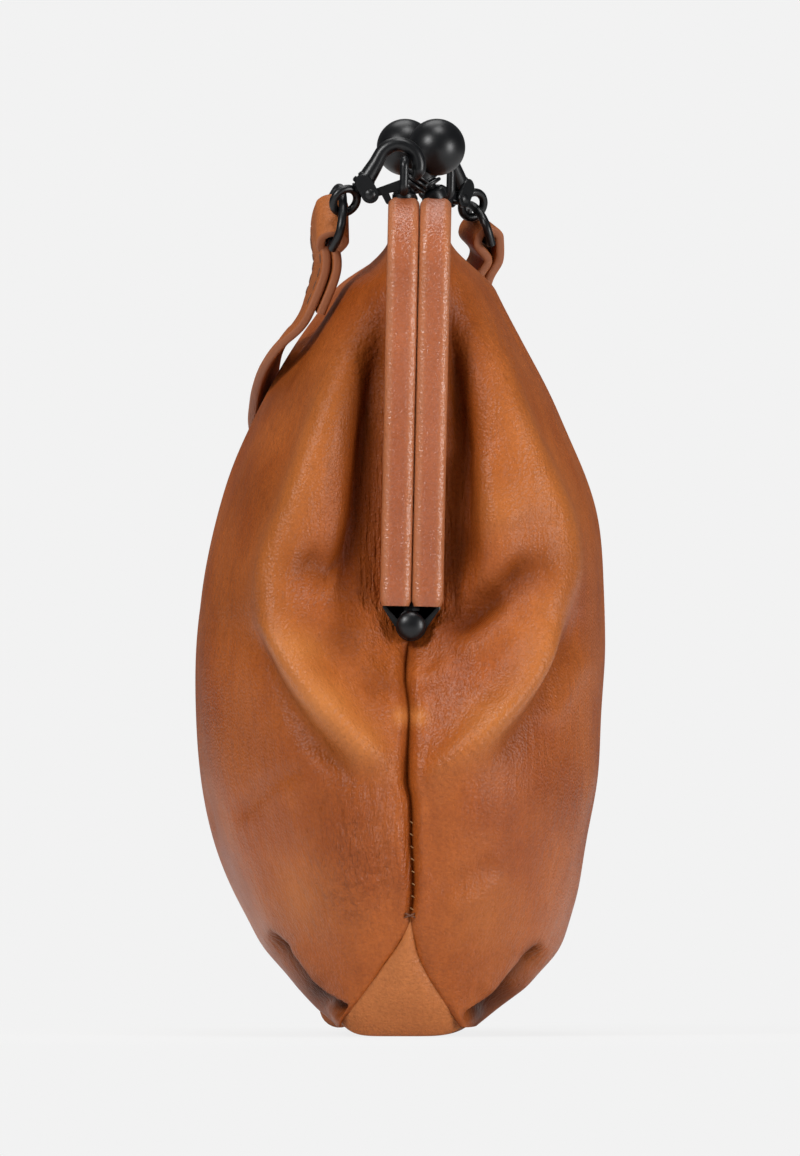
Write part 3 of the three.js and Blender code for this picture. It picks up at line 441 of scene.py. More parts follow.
# Leather body
# Folds of the near flank: points (y, z), width on either side and height out of the leather
# A tuck has one more value, the share of its width that one side keeps
NEAR_FOLDS = [
    (
        [
            (5, 167), (9, 156), (13, 145), (18, 131), (22.3, 119.7), (25.7, 111), (27.5, 103), (26.4, 93.7),
            (22.3, 83.3), (18, 76), (12, 67.5), (4, 60.5),
        ],
        4.6, 5.6,
    ),
    ([(5, 168), (6.5, 155), (7.8, 140), (8.2, 128), (8.9, 117), (10.8, 107), (11, 99), (9, 92)], 3.8, -4.0),
    ([(23, 108.5), (18, 106.5), (13, 104)], 3.8, -2.0),
    (
        [
            (-15, 167), (-18.5, 159), (-21, 152), (-23.5, 142), (-29, 128.7), (-33.7, 116), (-35.4, 105.7),
            (-33, 97.6), (-30.3, 88), (-26.6, 79), (-21.8, 72), (-16, 65.5), (-9.5, 60.5), (-4, 57),
        ],
        4.4, 4.8,
    ),
    ([(-11, 168), (-12, 155), (-13, 140), (-13.8, 125), (-13.5, 112), (-12, 102), (-10, 94)], 4.0, -3.8),
    ([(-18, 135), (-22.5, 121), (-26.5, 113)], 4.5, 1.6),
    ([(-32, 109.5), (-24, 102), (-17, 97), (-8, 91)], 3.4, -3.2),
    ([(-29, 95), (-21, 90), (-12, 86)], 3.2, 1.0),
    ([(10, 87), (3, 81.5), (-7, 82), (-13, 87)], 1.5, 0.5),
    ([(12, 84), (4, 78), (-8, 78.5), (-15, 83.5)], 1.6, -0.4),
    ([(28, 100), (25, 87), (19.5, 78), (13.5, 70.5), (7, 64), (-2, 57)], 3.6, 2.6),
    ([(-33, 97), (-28.2, 83), (-22.6, 74), (-16.2, 66.8), (-10, 61.5), (-2, 56)], 3.4, 2.0),
    ([(33, 94), (24.5, 76.5), (17, 65.4), (8, 56)], 2.8, -2.4),
    ([(-41, 98), (-36.6, 87), (-31.4, 77.5), (-25, 69), (-17.5, 61)], 2.8, -1.9),
    ([(-43, 88), (-38, 78), (-32, 69)], 2.6, 0.8),
    ([(39, 47.5), (29, 57.5), (19, 60.5)], 2.2, -0.7),
    ([(-7, 32.5), (-15, 36), (-23, 40)], 3.0, -0.8),
    ([(-9, 28), (-18, 32), (-26, 37)], 3.0, 0.6),
    ([(30, 24), (25.3, 19.2), (21.8, 14.3), (19.1, 10.2), (15.6, 7.4), (10, 6)], 3.0, -5.4, -0.2),
    ([(34, 22), (28.5, 16), (23.5, 10), (17, 5)], 2.6, 1.8),
    ([(25, 21.5), (20.5, 16), (17, 11.5)], 2.2, 0.9),
    ([(-32, 21.5), (-26.6, 15.7), (-22.5, 10.2), (-19.5, 7), (-13, 3.4)], 3.2, -6.2, 0.2),
    ([(-35, 20), (-30.5, 13), (-25.5, 7.5), (-18, 3)], 2.3, 1.8),
    ([(-26, 20.5), (-21, 14), (-17.5, 9)], 2.4, 1.0),
]
# Painted shade: soft dark bands in the hollows beside the legs, the ridges and the tucks: points (y, z),
# width and strength
NEAR_HOLLOW_SHADE = [
    ([(4, 178), (6.5, 155), (7.8, 140), (8.2, 128), (8.9, 117), (10.6, 107), (11, 99), (8, 84)], 5.2, 0.66),
    ([(27, 108), (19, 105.5), (12, 103), (8, 100)], 4.6, 0.3),
    ([(-10, 178), (-12, 155), (-12.8, 140), (-13.4, 125), (-13, 112), (-11.5, 102), (-9, 90)], 5.2, 0.58),
    ([(-36, 113), (-25, 103), (-17, 97.5), (-6, 89)], 4.6, 0.36),
    ([(-26, 103), (-16, 97), (-6, 90)], 4.4, 0.5),
    ([(33, 94), (25, 77), (17.5, 66), (8, 56)], 3.6, 0.2),
    ([(-40, 98), (-35, 87), (-30, 77.5), (-24, 69), (-16, 61)], 3.2, 0.26),
    ([(-32, 23), (-26.8, 15.4), (-22.8, 9.8), (-17, 4)], 1.5, 0.98),
    ([(31, 26), (25.6, 18.9), (22, 13.9), (19.2, 9.8), (12, 5)], 1.3, 0.95),
]
# Painted near-black shadow in the deep creases under the tucks at the bottom corners: points (y, z), width
# and strength
NEAR_CREASE_SHADOWS = [
    ([(-32, 21.5), (-27.5, 14.8), (-23.4, 9.2), (-19, 4.5), (-14, 1.5)], 1.5, 0.85),
    ([(30, 23), (26.1, 18.2), (22.6, 13.2), (19.8, 9), (13, 4)], 1.2, 0.8),
]
# Broad painted tones of light and shade: y, z, reach and strength, darker painted shade when positive and
# paler painted highlight when negative
NEAR_PAINTED_TONES = [
    (13, 53, 11, 0.2), (23, 146, 10, 0.28), (31, 122, 11, 0.36), (38, 98, 12, 0.3),
    (-38, 52, 10, 0.14), (23, 31, 10, -0.25), (-20, 27, 10, -0.15), (-22, 119, 8, -0.2),
    (36, 66, 12, 0.16), (13.5, 90, 6, 0.46), (5, 81, 5.5, 0.38), (20.5, 87.5, 4, -0.3),
    (16, 74.5, 6, -0.3), (9, 67, 6, -0.35), (-18, 72, 6, -0.2), (-0.3, 72.5, 2.2, -0.6),
    (-4, 72.5, 2.2, -0.6),
]
# Folds of the far flank, as on the near one
FAR_FOLDS = [
    ([(2, 170), (9, 148), (16, 126), (25, 108), (24, 92), (14, 76), (3, 63)], 6.0, 3.0),
    ([(11, 115), (13, 104), (9, 92)], 6.0, -3.0),
    ([(-18, 168), (-25, 143), (-33, 119), (-35, 101), (-26, 84), (-10, 66)], 6.0, 3.2),
    ([(-20, 122), (-24, 107), (-20, 93)], 6.0, -2.8),
    ([(26, 70), (17, 60), (7, 54)], 2.6, -1.0),
    ([(-30, 68), (-20, 58), (-9, 52)], 2.6, 1.0),
    ([(30, 25), (23, 15), (15, 5)], 2.0, -1.9),
    ([(-34, 22), (-28, 13), (-20, 4)], 1.9, -2.0),
]
# Gathers that hang from the frame on the broad faces, and soft folds below: points (x, z), width, height
BROAD_FOLDS = [
    ([(-34, 180), (-32, 160), (-27, 138), (-25, 118), (-24, 90)], 4.5, 0.8),
    ([(-21, 180), (-20, 165), (-17, 150)], 3.5, -1.1),
    ([(-8, 180), (-8, 160), (-5, 135), (-4, 112), (-3, 84)], 5.0, 0.4),
    ([(7, 180), (8, 163), (9, 146)], 3.5, -1.0),
    ([(20, 180), (22, 158), (24, 130), (23, 112), (22, 88)], 5.0, 0.8),
    ([(35, 180), (36, 164), (38, 146)], 4.0, -1.1),
    ([(-44, 62), (-24, 52), (-4, 50)], 6.0, -0.8),
    ([(42, 70), (20, 60), (2, 62)], 6.0, -0.7),
    ([(-38, 24), (-14, 20), (12, 21), (38, 25)], 5.0, 0.8),
]
# Depth of a groove that would paint full shade, and height of a ridge that would paint a full highlight with
# rubbed wear
PAINTED_SHADE_DEPTH = 14.0
WEAR_AND_HIGHLIGHT_HEIGHT = 18.0


def fold_height(a, b, folds, painted_shade=None, wear_and_highlight=None):
    """The sum of rounded ridges and grooves along curves: h * exp(-(d / w)^2), fading at both ends.

    d is the distance from the curve and w the width. A tuck has a fourth value: the share of the width that
    it keeps on the left of its curve, or when negative on the right. Grooves add painted shade, and ridges
    add rubbed wear with a painted highlight.
    """
    total = np.zeros_like(a)
    for points, width, height, *tuck in folds:
        line = through(points, 70)
        way = unit(np.gradient(line, axis=0))
        near = np.full(a.shape, np.inf)
        share = np.zeros_like(a)
        left = np.zeros_like(a)
        for k, (p, q) in enumerate(line):
            gap = (a - p) ** 2 + (b - q) ** 2
            closer = gap < near
            near = np.where(closer, gap, near)
            share = np.where(closer, k / (len(line) - 1), share)
            left = np.where(closer, way[k, 0] * (b - q) - way[k, 1] * (a - p), left)
        fade = within((0, 0.25), (0.75, 1), share)
        wide = width
        if tuck:
            wide = np.where(left * tuck[0] > 0, width * abs(tuck[0]), width)
        form = np.exp(-near / wide**2) * fade
        total += height * form
        # Grooves paint shade and ridges paint a highlight with rubbed wear
        if height < 0 and painted_shade is not None:
            painted_shade -= height / PAINTED_SHADE_DEPTH * form
        if height > 0 and wear_and_highlight is not None:
            wear_and_highlight += height / WEAR_AND_HIGHLIGHT_HEIGHT * form
    return total


# How far a panel's side edge lies within the bar, and its top edge outside of that
EDGE_IN_BAR = 2.5
TOP_EDGE_OUT = 1.9
# Side seam: where it ends, how deep its groove is there and beside the base, and how high its lips stand
SEAM_END = 92.0
SEAM_GROOVE = 1.9
BASE_GROOVE = 1.1
SEAM_LIP = 0.55


def edge_depth(side, z):
    """Distance from y = 0 of a panel's edge: on the base, on the side seam, then in the frame's leg."""
    low = along(GUSSET_REAR if side > 0 else GUSSET_FRONT, z)
    seam = np.where(z < GUSSET_TIP_Z, low, side * along(SEAM_PATH, z))
    leg = side * (HINGE_Y - (z - HINGE_Z) * math.tan(LEAN)) + BAR_GAP + BAR_WIDTH - EDGE_IN_BAR
    share = smooth(HINGE_Z - 1.5, HINGE_Z + 7, z)
    return seam * (1 - share) + leg * share


def body_folds(side, points, r):
    """Height of the folds on half the body, and the marks on its leather. r is the distance from the edge.

    The flanks have their listed folds and the broad faces their gathers, and one passes into the other where
    |x| is 8 to 30 mm. Waves make all of it uneven, with gathers beside the legs and puckers beside the seams.
    Marks are painted shade in hollows, grooves and along the seams, rubbed wear with painted highlights on
    ridges and lit slopes, upright and slanting wrinkles, and painted shadow in deep creases, each from 0 to
    1.
    """
    x, y, z = np.moveaxis(points, -1, 0)
    near = x < 0
    flank = smooth(8, 30, np.abs(x))
    painted_shade, wear_and_highlight, near_painted_shade, near_wear_and_highlight, far_painted_shade, far_wear_and_highlight = np.zeros((6, *x.shape))
    folds = np.where(
        near,
        fold_height(y, z, NEAR_FOLDS, near_painted_shade, near_wear_and_highlight),
        fold_height(y, z, FAR_FOLDS, far_painted_shade, far_wear_and_highlight),
    )
    folds = folds * flank + fold_height(x, z, BROAD_FOLDS, painted_shade, wear_and_highlight) * (1 - flank)
    beside_leg = bell(r - 4, 4.5) * within((86, 98), (135, 165), z)
    beside_seam = np.exp(-r / 5) * within((27, 36), (74, 88), z)
    folds += 0.5 * waves(0.7 * x + y, z, (31, 44, 58, 75), 3 + side)
    folds += 0.25 * beside_leg * waves(y + 0.12 * z, 0.16 * z, (3.1, 4.0, 5.2, 6.7), 11 + side)
    folds += 0.25 * beside_seam * waves(z, 0.4 * y, (4.3, 5.6, 7.5), 23 + side)
    # Painted shade in the near flank's hollows; the broad tones add painted shade where darker and painted
    # highlight where paler
    hollow = np.max([fold_height(y, z, [mark]) for mark in NEAR_HOLLOW_SHADE], axis=0)
    for y_at, z_at, reach, tone in NEAR_PAINTED_TONES:
        spot = tone * bell(np.hypot(y - y_at, z - z_at), reach)
        hollow += np.maximum(spot, 0)
        near_wear_and_highlight -= np.minimum(spot, 0)
    painted_shade = painted_shade * (1 - flank) + np.where(near, near_painted_shade + hollow, far_painted_shade) * flank
    # Painted shade along the seams' grooves below the hinge
    painted_shade += 0.75 * np.exp(-r / 0.4) * (z < SEAM_END)
    wear_and_highlight = wear_and_highlight * (1 - flank) + np.where(near, near_wear_and_highlight, far_wear_and_highlight) * flank
    crinkle = beside_leg + 0.3 * bell(np.hypot(y - HINGE_Y, z - HINGE_Z) - 10, 6) * (z < 98)
    rumple = 0.12 + bell(z - 42, 13) * bell(y - 10, 9) * (side > 0)
    # Painted near-black shadow in the deepest creases
    crease_shadow = np.where(near, fold_height(y, z, NEAR_CREASE_SHADOWS), 0)
    marks = {
        "painted_shade": np.clip(painted_shade, 0, 0.95),
        "wear_and_highlight": np.clip(wear_and_highlight, 0, 0.8) * (1 - np.clip(painted_shade, 0, 1)),
        "crinkle": np.clip(crinkle, 0, 1) * flank,
        "rumple": np.clip(rumple, 0, 1) * flank,
        "crease_shadow": np.clip(crease_shadow * flank, 0, 0.95),
    }
    return folds, marks


def body_grid(side, rows, columns):
    """Outer face of half the body, its normals and its marks. Side is 1 for the rear and -1 for the front.

    At each height x = W * sgn(t) * |sin t|^0.9 and y = e + (D - e) * |cos t|^0.82, with t from -90 to 90
    degrees, W the full half width, D the depth and e the edge. The edge is then drawn in by
    (W - P) * exp(-(r / R)^1.6), with r the distance from the edge, P the pinched half width and R the reach.
    A groove with lips is drawn in at the seam. Folds add along the normal and die out towards the edges.
    """
    z = np.linspace(BODY_FLOOR, BODY_TOP, rows)[:, None]
    step = np.linspace(-1, 1, columns)[None]
    t = math.pi / 2 * (0.45 * step + 0.55 * np.sin(math.pi / 2 * step))
    edge = edge_depth(side, z)
    share = smooth(BODY_TOP - 14, BODY_TOP, z)
    filled = along(REAR_PROFILE if side > 0 else FRONT_PROFILE, z)
    depth = filled * (1 - share) + (edge + TOP_EDGE_OUT) * share
    r = (depth - edge) * np.abs(np.cos(t)) ** DEPTH_POWER
    full = along(FULL_WIDTH, z)
    drawn = (full - along(PINCHED_WIDTH, z)) * np.exp(-((r / along(PINCH_REACH, z)) ** PINCH_POWER))
    sewn = within((GUSSET_TIP_Z - 4, GUSSET_TIP_Z + 4), (SEAM_END - 6, SEAM_END), z)
    beside_base = 1 - smooth(GUSSET_TIP_Z - 6, GUSSET_TIP_Z, z)
    drawn = drawn + (SEAM_GROOVE * sewn + BASE_GROOVE * beside_base) * np.exp(-((r / 0.95) ** 1.5))
    drawn = drawn - SEAM_LIP * sewn * bell(r - 2.4, 1.2)
    out = np.abs(np.sin(t))
    x = np.sign(t) * (full * out**WIDTH_POWER - drawn * smooth(0.2, 0.9, out))
    points = np.stack(np.broadcast_arrays(x, side * (edge + r), z), -1)
    folds, marks = body_folds(side, points, r)
    held = smooth(0, 3.5, r) * within((BODY_FLOOR, BODY_FLOOR + 4.5), (BODY_TOP - 10, BODY_TOP), z)
    normal = unit(np.cross(np.gradient(points, axis=1), np.gradient(points, axis=0)))
    normal *= np.sign((normal * points).sum(-1, keepdims=True))
    return points + normal * (folds * held)[..., None], normal, marks


def keep(obj, name, values):
    """Store one value for each point of an object's mesh."""
    store = obj.data.attributes.new(name, "FLOAT", "POINT")
    store.data.foreach_set("value", np.ravel(values))


PANEL_ROWS = 262
PANEL_COLUMNS = 350
# Lining and pocket: distance inside the leather's face, and the rows and columns of its grid that they follow
LINING_INSET = 2.2
LINING_SPAN = (slice(6, -6, 3), slice(4, -4, 3))
POCKET_INSET = 3.6
POCKET_SPAN = (slice(52, 158, 2), slice(88, -88, 2))
BODY_PIECES = {}
SEAM_LINES = {}
for side, label in ((1, "rear"), (-1, "front")):
    points, normal, marks = body_grid(side, PANEL_ROWS, PANEL_COLUMNS)
    outer = sheet_part(points, flip=side > 0)
    panel = make(label + "_leather_panel", [outer], [BODY_LEATHER], smooth_angle=0)
    for mark, values in marks.items():
        keep(panel, mark, values)
    SEAM_LINES[side] = points[:, [0, -1]]
    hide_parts(label + "_panel")
    inner = (points - LINING_INSET * normal)[LINING_SPAN]
    cloth = make(label + "_lining_cloth", [sheet_part(inner, flip=side < 0)], [LINING], smooth_angle=0)
    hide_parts("lining_" + label)
    BODY_PIECES[side] = [panel, cloth]
    if side > 0:
        inner = (points - POCKET_INSET * normal)[POCKET_SPAN]
        pocket = make("slip_pocket_cloth", [sheet_part(inner)], [LINING], smooth_angle=0)
        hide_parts("slip_pocket")
        BODY_PIECES[side].append(pocket)
for piece in BODY_PIECES[1]:
    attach(piece, "pouch")
# The front half's pieces get their place baked into their points; they are not attached to a body here
for piece in BODY_PIECES[-1]:
    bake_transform(piece)


# Base: a flat strip whose ends fold up to a point at the side seams
BASE_FLAT = 48.5
BASE_END = FULL_WIDTH[0][1]
BASE_TIP_X = FULL_WIDTH[1][1]


def base_grid(rows, columns):
    """Lower face of the base. Along its run the strip is flat, turns up round a bend and narrows to a point.

    On the flat part its edges are the panels' bottom edges. On the folded ends they are tucked under them.
    """
    s = np.linspace(-1, 1, rows)[:, None]
    across = np.linspace(-1, 1, columns)[None]
    slope = math.hypot(BASE_TIP_X - BASE_FLAT, GUSSET_TIP_Z)
    at = np.abs(s) * (BASE_FLAT + slope)
    rise = np.clip((at - BASE_FLAT) / slope, 0, 1)
    z = rise**2 / (rise + 0.06) * 1.06 * GUSSET_TIP_Z
    end = along(PINCHED_WIDTH, z) - 0.9
    x = np.minimum(at, BASE_FLAT) + (end - BASE_FLAT) * smooth(0, 0.14, rise)
    t = np.arcsin(np.clip(x / BASE_END, 0, 1) ** (1 / WIDTH_POWER))
    widths = []
    for depth, edge in ((REAR_PROFILE[0][1], GUSSET_REAR), (FRONT_PROFILE[0][1], GUSSET_FRONT)):
        bottom = edge[0][1] + (depth - edge[0][1]) * np.cos(t) ** DEPTH_POWER
        widths.append(np.where(rise > 0, along(edge, z), bottom) - 0.4 + smooth(3, 8, z))
    rear, front = widths
    folded = (rear - front + across * (rear + front)) / 2
    y = np.where(rise > 0, folded, across * np.where(across > 0, rear, front))
    bulge = 1.9 * (1 - across**2) * np.sin(math.pi * np.clip(rise * 1.02, 0, 1)) ** 0.7
    z = z + 3.6 * np.abs(across) ** 6 * (1 - smooth(0, 0.3, rise))
    return np.stack([np.sign(s) * (x + bulge), y, z], -1)


def seam_stitches():
    """Short threads across both side seams above the base, and a bar tack of crossed threads at its tips."""
    parts = []
    for end, out in ((0, -1), (1, 1)):
        rear, front = SEAM_LINES[1][:, end], SEAM_LINES[-1][:, end]
        k = np.linspace(-1, 1, 7)
        for z in np.arange(GUSSET_TIP_Z + 2, 50, 2.8):
            x, y = (np.interp(z, rear[:, 2], rear[:, axis]) for axis in (0, 1))
            arc = np.stack([x + out * (0.45 - 0.25 * k**2), y + 0.45 * k, z + 0.3 * k], 1)
            parts.append((*wire_part(arc, [0, 0, 1], 0.15, 8), 1))
        x = np.interp(GUSSET_TIP_Z, front[:, 2], front[:, 0])
        k = np.linspace(-1, 1, 9)
        for lean in (-1, 1):
            height = GUSSET_TIP_Z + 0.5 + 0.5 * lean * k
            arc = np.stack([x + out * (1.5 - 0.6 * k**2), SEAM_PATH[0][1] + 1.2 * k, height], 1)
            parts.append((*wire_part(arc, [0, 0, 1], 0.19, 8), 2))
    return parts


base_parts = [sheet_part(base_grid(241, 61))] + seam_stitches()
base = make("base_leather", base_parts, [GUSSET_LEATHER, SEAM_THREAD, THREAD], smooth_angle=0)
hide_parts("base_panel")
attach(base, "pouch")


# Frame: two leather-wrapped bars bent to an upside-down U, drawn about the hinge line and then leaned
# Points of a bar's section on each rounded corner and each face
CORNER_POINTS = 7
FACE_POINTS = 7


def turned(axis, angle):
    """The matrix of a turn about the X or Z axis."""
    c, s = math.cos(angle), math.sin(angle)
    if axis == "x":
        return np.array([[1, 0, 0], [0, c, -s], [0, s, c]])
    return np.array([[c, -s, 0], [s, c, 0], [0, 0, 1]])


def on_frame(points):
    """Points about the closed frame's hinge line, in their place on the pouch."""
    return np.asarray(points, float) @ turned("x", LEAN).T + np.array([0, HINGE_Y, HINGE_Z])


def bar_line(low):
    """Points (x, z, outward x, outward z) along the middle of the bar: leg, corner, top, corner, leg."""
    radius = FRAME_CORNER - BAR_DEPTH / 2
    top = FRAME_HEIGHT - BAR_DEPTH / 2
    legs = np.linspace(low, top - radius, 60)
    left = [(-LEG_X, z, -1, 0) for z in legs]
    for angle in np.linspace(math.pi, math.pi / 2, 20)[1:]:
        nx, nz = math.cos(angle), math.sin(angle)
        left.append((radius * (nx + 1) - LEG_X, radius * (nz - 1) + top, nx, nz))
    across = [(x, top, 0, 1) for x in np.linspace(-(LEG_X - radius), LEG_X - radius, 50)[1:-1]]
    right = [(-x, z, -nx, nz) for x, z, nx, nz in reversed(left)]
    return left + across + right


def bar_section(depth, width, corner, hollow):
    """A rounded rectangle whose four faces are hollowed a little, so that its edges stand as soft ridges."""
    rim = rounded(depth / 2, width / 2, corner, CORNER_POINTS)
    points = []
    for quarter, (a, b) in enumerate(CORNERS):
        points.extend(rim[quarter * CORNER_POINTS:(quarter + 1) * CORNER_POINTS])
        for share in np.linspace(0, 1, FACE_POINTS + 2)[1:-1]:
            dip = hollow * math.sin(math.pi * share) ** 0.6
            if quarter % 2 == 0:
                points.append((a * (depth / 2 - corner) * (1 - 2 * share), b * (width / 2 - dip)))
            else:
                points.append((a * (depth / 2 - dip), b * (width / 2 - corner) * (1 - 2 * share)))
    return np.array(points)


def plate_part(outline, low, high, bevel=0.2):
    """A flat plate of outline (y, z), from low to high along X, with bevelled rims."""
    outline = np.array(outline, float)
    middle = outline.mean(0)
    size = np.linalg.norm(outline - middle, axis=1).mean()
    rings = []
    for x, shrink in ((low, bevel), (low + bevel, 0), (high - bevel, 0), (high, bevel)):
        flat = middle + (outline - middle) * (1 - shrink / size)
        rings.append(np.column_stack([np.full(len(flat), x), flat]))
    return tube_part(np.array(rings))


HALVES = ((1, "rear", "pouch"), (-1, "front", "front_frame"))
BAR_MIDDLE = BAR_GAP + BAR_WIDTH / 2
WRAP_EXTRA = 0.16
# Share of the section that is left at a leg's lower end
FOOT_SHARE = 0.86
SECTION = bar_section(BAR_DEPTH, BAR_WIDTH + WRAP_EXTRA, 1.9, 0.16)
# Paler rounded edges of the bar's section: rubbed wear with a painted highlight along each edge
CORNER_WEAR_AND_HIGHLIGHT = 0.25 * np.sin(math.pi * (np.arange(CORNER_POINTS) + 0.5) / CORNER_POINTS)
EDGE_WEAR_AND_HIGHLIGHT = np.tile(np.concatenate([CORNER_WEAR_AND_HIGHLIGHT, np.zeros(FACE_POINTS)]), len(CORNERS))
for side, label, body in HALVES:
    line = bar_line(LEG_START)
    rings = []
    for x, z, nx, nz in line:
        out, over = SECTION.T * (FOOT_SHARE if z == LEG_START else 1.0)
        rings.append(np.stack([x + out * nx, side * (BAR_MIDDLE - 0.1) + over, z + out * nz], 1))
    tube = tube_part(on_frame(np.array(rings)))
    wrap = make(label + "_frame_leather", [tube], [FRAME_LEATHER], smooth_angle=60)
    # Rubbed wear with a painted highlight on the bar's rounded edges
    keep(wrap, "wear_and_highlight", np.concatenate([np.tile(EDGE_WEAR_AND_HIGHLIGHT, len(line)), [0, 0]]))
    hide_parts(label + "_frame_wrap")
    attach(wrap, body)
    repaint(label + "_frame_core", BLACK_METAL)

# Hinge plates below the wrapped legs: each tapers from the leg's width to a round eye at the rivet
PLATE_THICK = 1.4
PLATE_EYE = 3.5
for side, label, body, outer in ((1, "rear", "pouch", 0.1), (-1, "front", "front_frame", -1.5)):
    outline = [(-0.1 * side, 5.2), (6.5 * side, 5.2), (6.5 * side, 3.9), (5.3 * side, 2.1)]
    for turn in np.linspace(-0.15, -math.pi + 0.7, 16):
        outline.append((PLATE_EYE * side * math.cos(turn), PLATE_EYE * math.sin(turn)))
    outline.append((-2.4 * side, 2.6))
    if side < 0:
        outline = outline[::-1]
    parts = []
    for end in (-1, 1):
        low = end * (LEG_X - outer) - (PLATE_THICK if end > 0 else 0.0)
        points, faces = plate_part(outline, low, low + PLATE_THICK)
        parts.append((on_frame(points), faces))
    plates = make(label + "_hinge_plates", parts, [BLACK_METAL])
    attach(plates, body)

# Hinge rivets with domed heads
RIVET_HEAD = 3.3
RIVET_HALF = 1.9
for end, label in ((-1, "near"), (1, "far")):
    inside, outside = LEG_X - RIVET_HALF, LEG_X + RIVET_HALF
    turns = np.linspace(0, math.pi / 2, 14)
    dome = [(RIVET_HEAD * math.cos(a), outside + 0.5 + 1.9 * math.sin(a)) for a in turns]
    profile = [(0.01, inside - 1.2), (2.3, inside - 1.2), (2.3, inside), (1.2, inside), (1.2, outside)]
    profile += [(3.1, outside), (RIVET_HEAD, outside + 0.2)] + dome[:-1] + [(0.01, dome[-1][1])]
    part = lathe_part(profile, on_frame([0, 0, 0]), [end, 0, 0])
    rivet = make(label + "_rivet", [part], [BLACK_METAL])
    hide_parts(label + "_hinge_rivet")
    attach(rivet, "pouch")

# Kiss lock: a ball, three collar rings and a stem that lean across to the other half
BALL_RADIUS = 6.5
LOCK_FOOT = FRAME_HEIGHT + 0.3
LOCK_ACROSS = BAR_MIDDLE + 3.6
LOCK_RISE = 12 - 0.3
LOCK_REACH = math.hypot(LOCK_ACROSS, LOCK_RISE)
for side, label, body in HALVES:
    foot = np.array([-side * (BALL_RADIUS + 0.2), side * BAR_MIDDLE, LOCK_FOOT])
    way = np.array([0, -side * LOCK_ACROSS, LOCK_RISE]) / LOCK_REACH
    profile = [(0.01, -0.6), (2.6, -0.5), (2.9, 0.6), (2.9, 1.5), (2.5, 1.9), (1.9, 2.2)]
    profile += [(1.7, 2.6), (1.7, 3.1)]
    for ring in range(3):
        wide = 3.35 - 0.22 * ring
        low = 3.2 + 1.15 * ring
        profile += [(wide - 0.75, low), (wide - 0.2, low + 0.05), (wide, low + 0.3), (wide, low + 0.6)]
        profile += [(wide - 0.2, low + 0.85), (wide - 0.75, low + 0.92)]
    for angle in np.linspace(-1.2, math.pi / 2, 40):
        profile.append((BALL_RADIUS * math.cos(angle), LOCK_REACH + BALL_RADIUS * math.sin(angle)))
    profile[-1] = (0.01, LOCK_REACH + BALL_RADIUS)
    start, ahead = on_frame(np.array([foot, foot + way]))
    part = lathe_part(profile, start, ahead - start, around=64)
    lock = make(label + "_kiss_lock", [part], [BLACK_METAL])
    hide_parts(label + "_lock_stem", label + "_lock_collar", label + "_lock_ball")
    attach(lock, body)


# Strap hardware, drawn about each lug's bar: outward from the pouch is local +Y
LUG_X = 42.0
LUG_HEIGHT = FRAME_HEIGHT + 8.5
HOOK_LINE = [
    (-2.2, -4.2), (-3.1, -2.6), (-3.25, -0.6), (-2.2, 1.9), (0, 3.35), (2.4, 3.5),
    (4.8, 2), (6.6, -1.2), (8.6, -4.6),
]
HOOK_WIRE = 1.62
BARREL_START = np.array([0, 8.1, -4.0])
SHANK_WAY = unit([0, 0.68, -0.73])
BARREL_LENGTH = 3.0
GATE_PIVOT = (7.6, -8.0)
GATE_TIP = (0.6, -5.6)
EAR_ROOT = (9.2, -5.4)
EAR_OUT = 2.3
EAR_THICK = 0.95
GATE_HALF = 1.05
TAB_HALF = 0.95
EYE_RADIUS = 3.0
EYE_WIRE = 0.95
D_WIRE = 1.0
D_DEPTH = 7.2
D_HALF_BAR = 7.6
BARREL_END = BARREL_START + SHANK_WAY * BARREL_LENGTH
EYE_CENTRE = BARREL_END + SHANK_WAY * (0.6 + EYE_RADIUS + EYE_WIRE)
D_BOW = EYE_CENTRE + SHANK_WAY * (EYE_RADIUS - EYE_WIRE - D_WIRE - 0.3)
# Lug ring: half its width and height, and the radius of its corners and of its wire
LUG_HALF = (4.2, 3.6)
LUG_CORNER = 1.6
LUG_WIRE = 1.0
# Turned parts: pairs of radius and distance along the axis
LUG_FOOT = [(0.01, -9.0), (2.6, -9.0), (2.6, -7.8), (1.3, -7.5), (1.3, -6.6), (0.01, -6.5)]
BARREL = [
    (0.01, -0.6), (1.5, -0.5), (2.0, 0), (2.2, 0.5), (2.2, 1.1), (1.9, 1.3), (1.9, 1.7),
    (2.3, 1.9), (2.3, 2.6), (2.0, BARREL_LENGTH), (0.01, BARREL_LENGTH),
]
HALF_PIN = [(0.01, -2.75), (0.8, -2.7), (1.15, -2.45), (1.2, -2.25), (0.6, -2.2)]
GATE_EYE = [
    (0.01, -GATE_HALF), (1.25, -GATE_HALF), (1.4, -0.9), (1.4, 0.9), (1.25, GATE_HALF), (0.01, GATE_HALF),
]
STEM = [(0.01, -1.0), (0.9, -1.0), (0.9, 0.2), (1.5, 0.25), (1.6, 0.6), (1.2, 1.0), (0.9, 1.3), (0.01, 1.4)]
X_WAY = np.array([1.0, 0, 0])
Y_WAY = np.array([0, 1.0, 0])
Z_WAY = np.array([0, 0, 1.0])


def link_outline(a, b, radius_a, radius_b):
    """The outline of a round-ended link between two points."""
    turn = math.atan2(b[1] - a[1], b[0] - a[0])
    outline = []
    for centre, radius, start in ((b, radius_b, turn - math.pi / 2), (a, radius_a, turn + math.pi / 2)):
        for angle in start + np.linspace(0, math.pi, 14):
            outline.append((centre[0] + radius * math.cos(angle), centre[1] + radius * math.sin(angle)))
    return outline


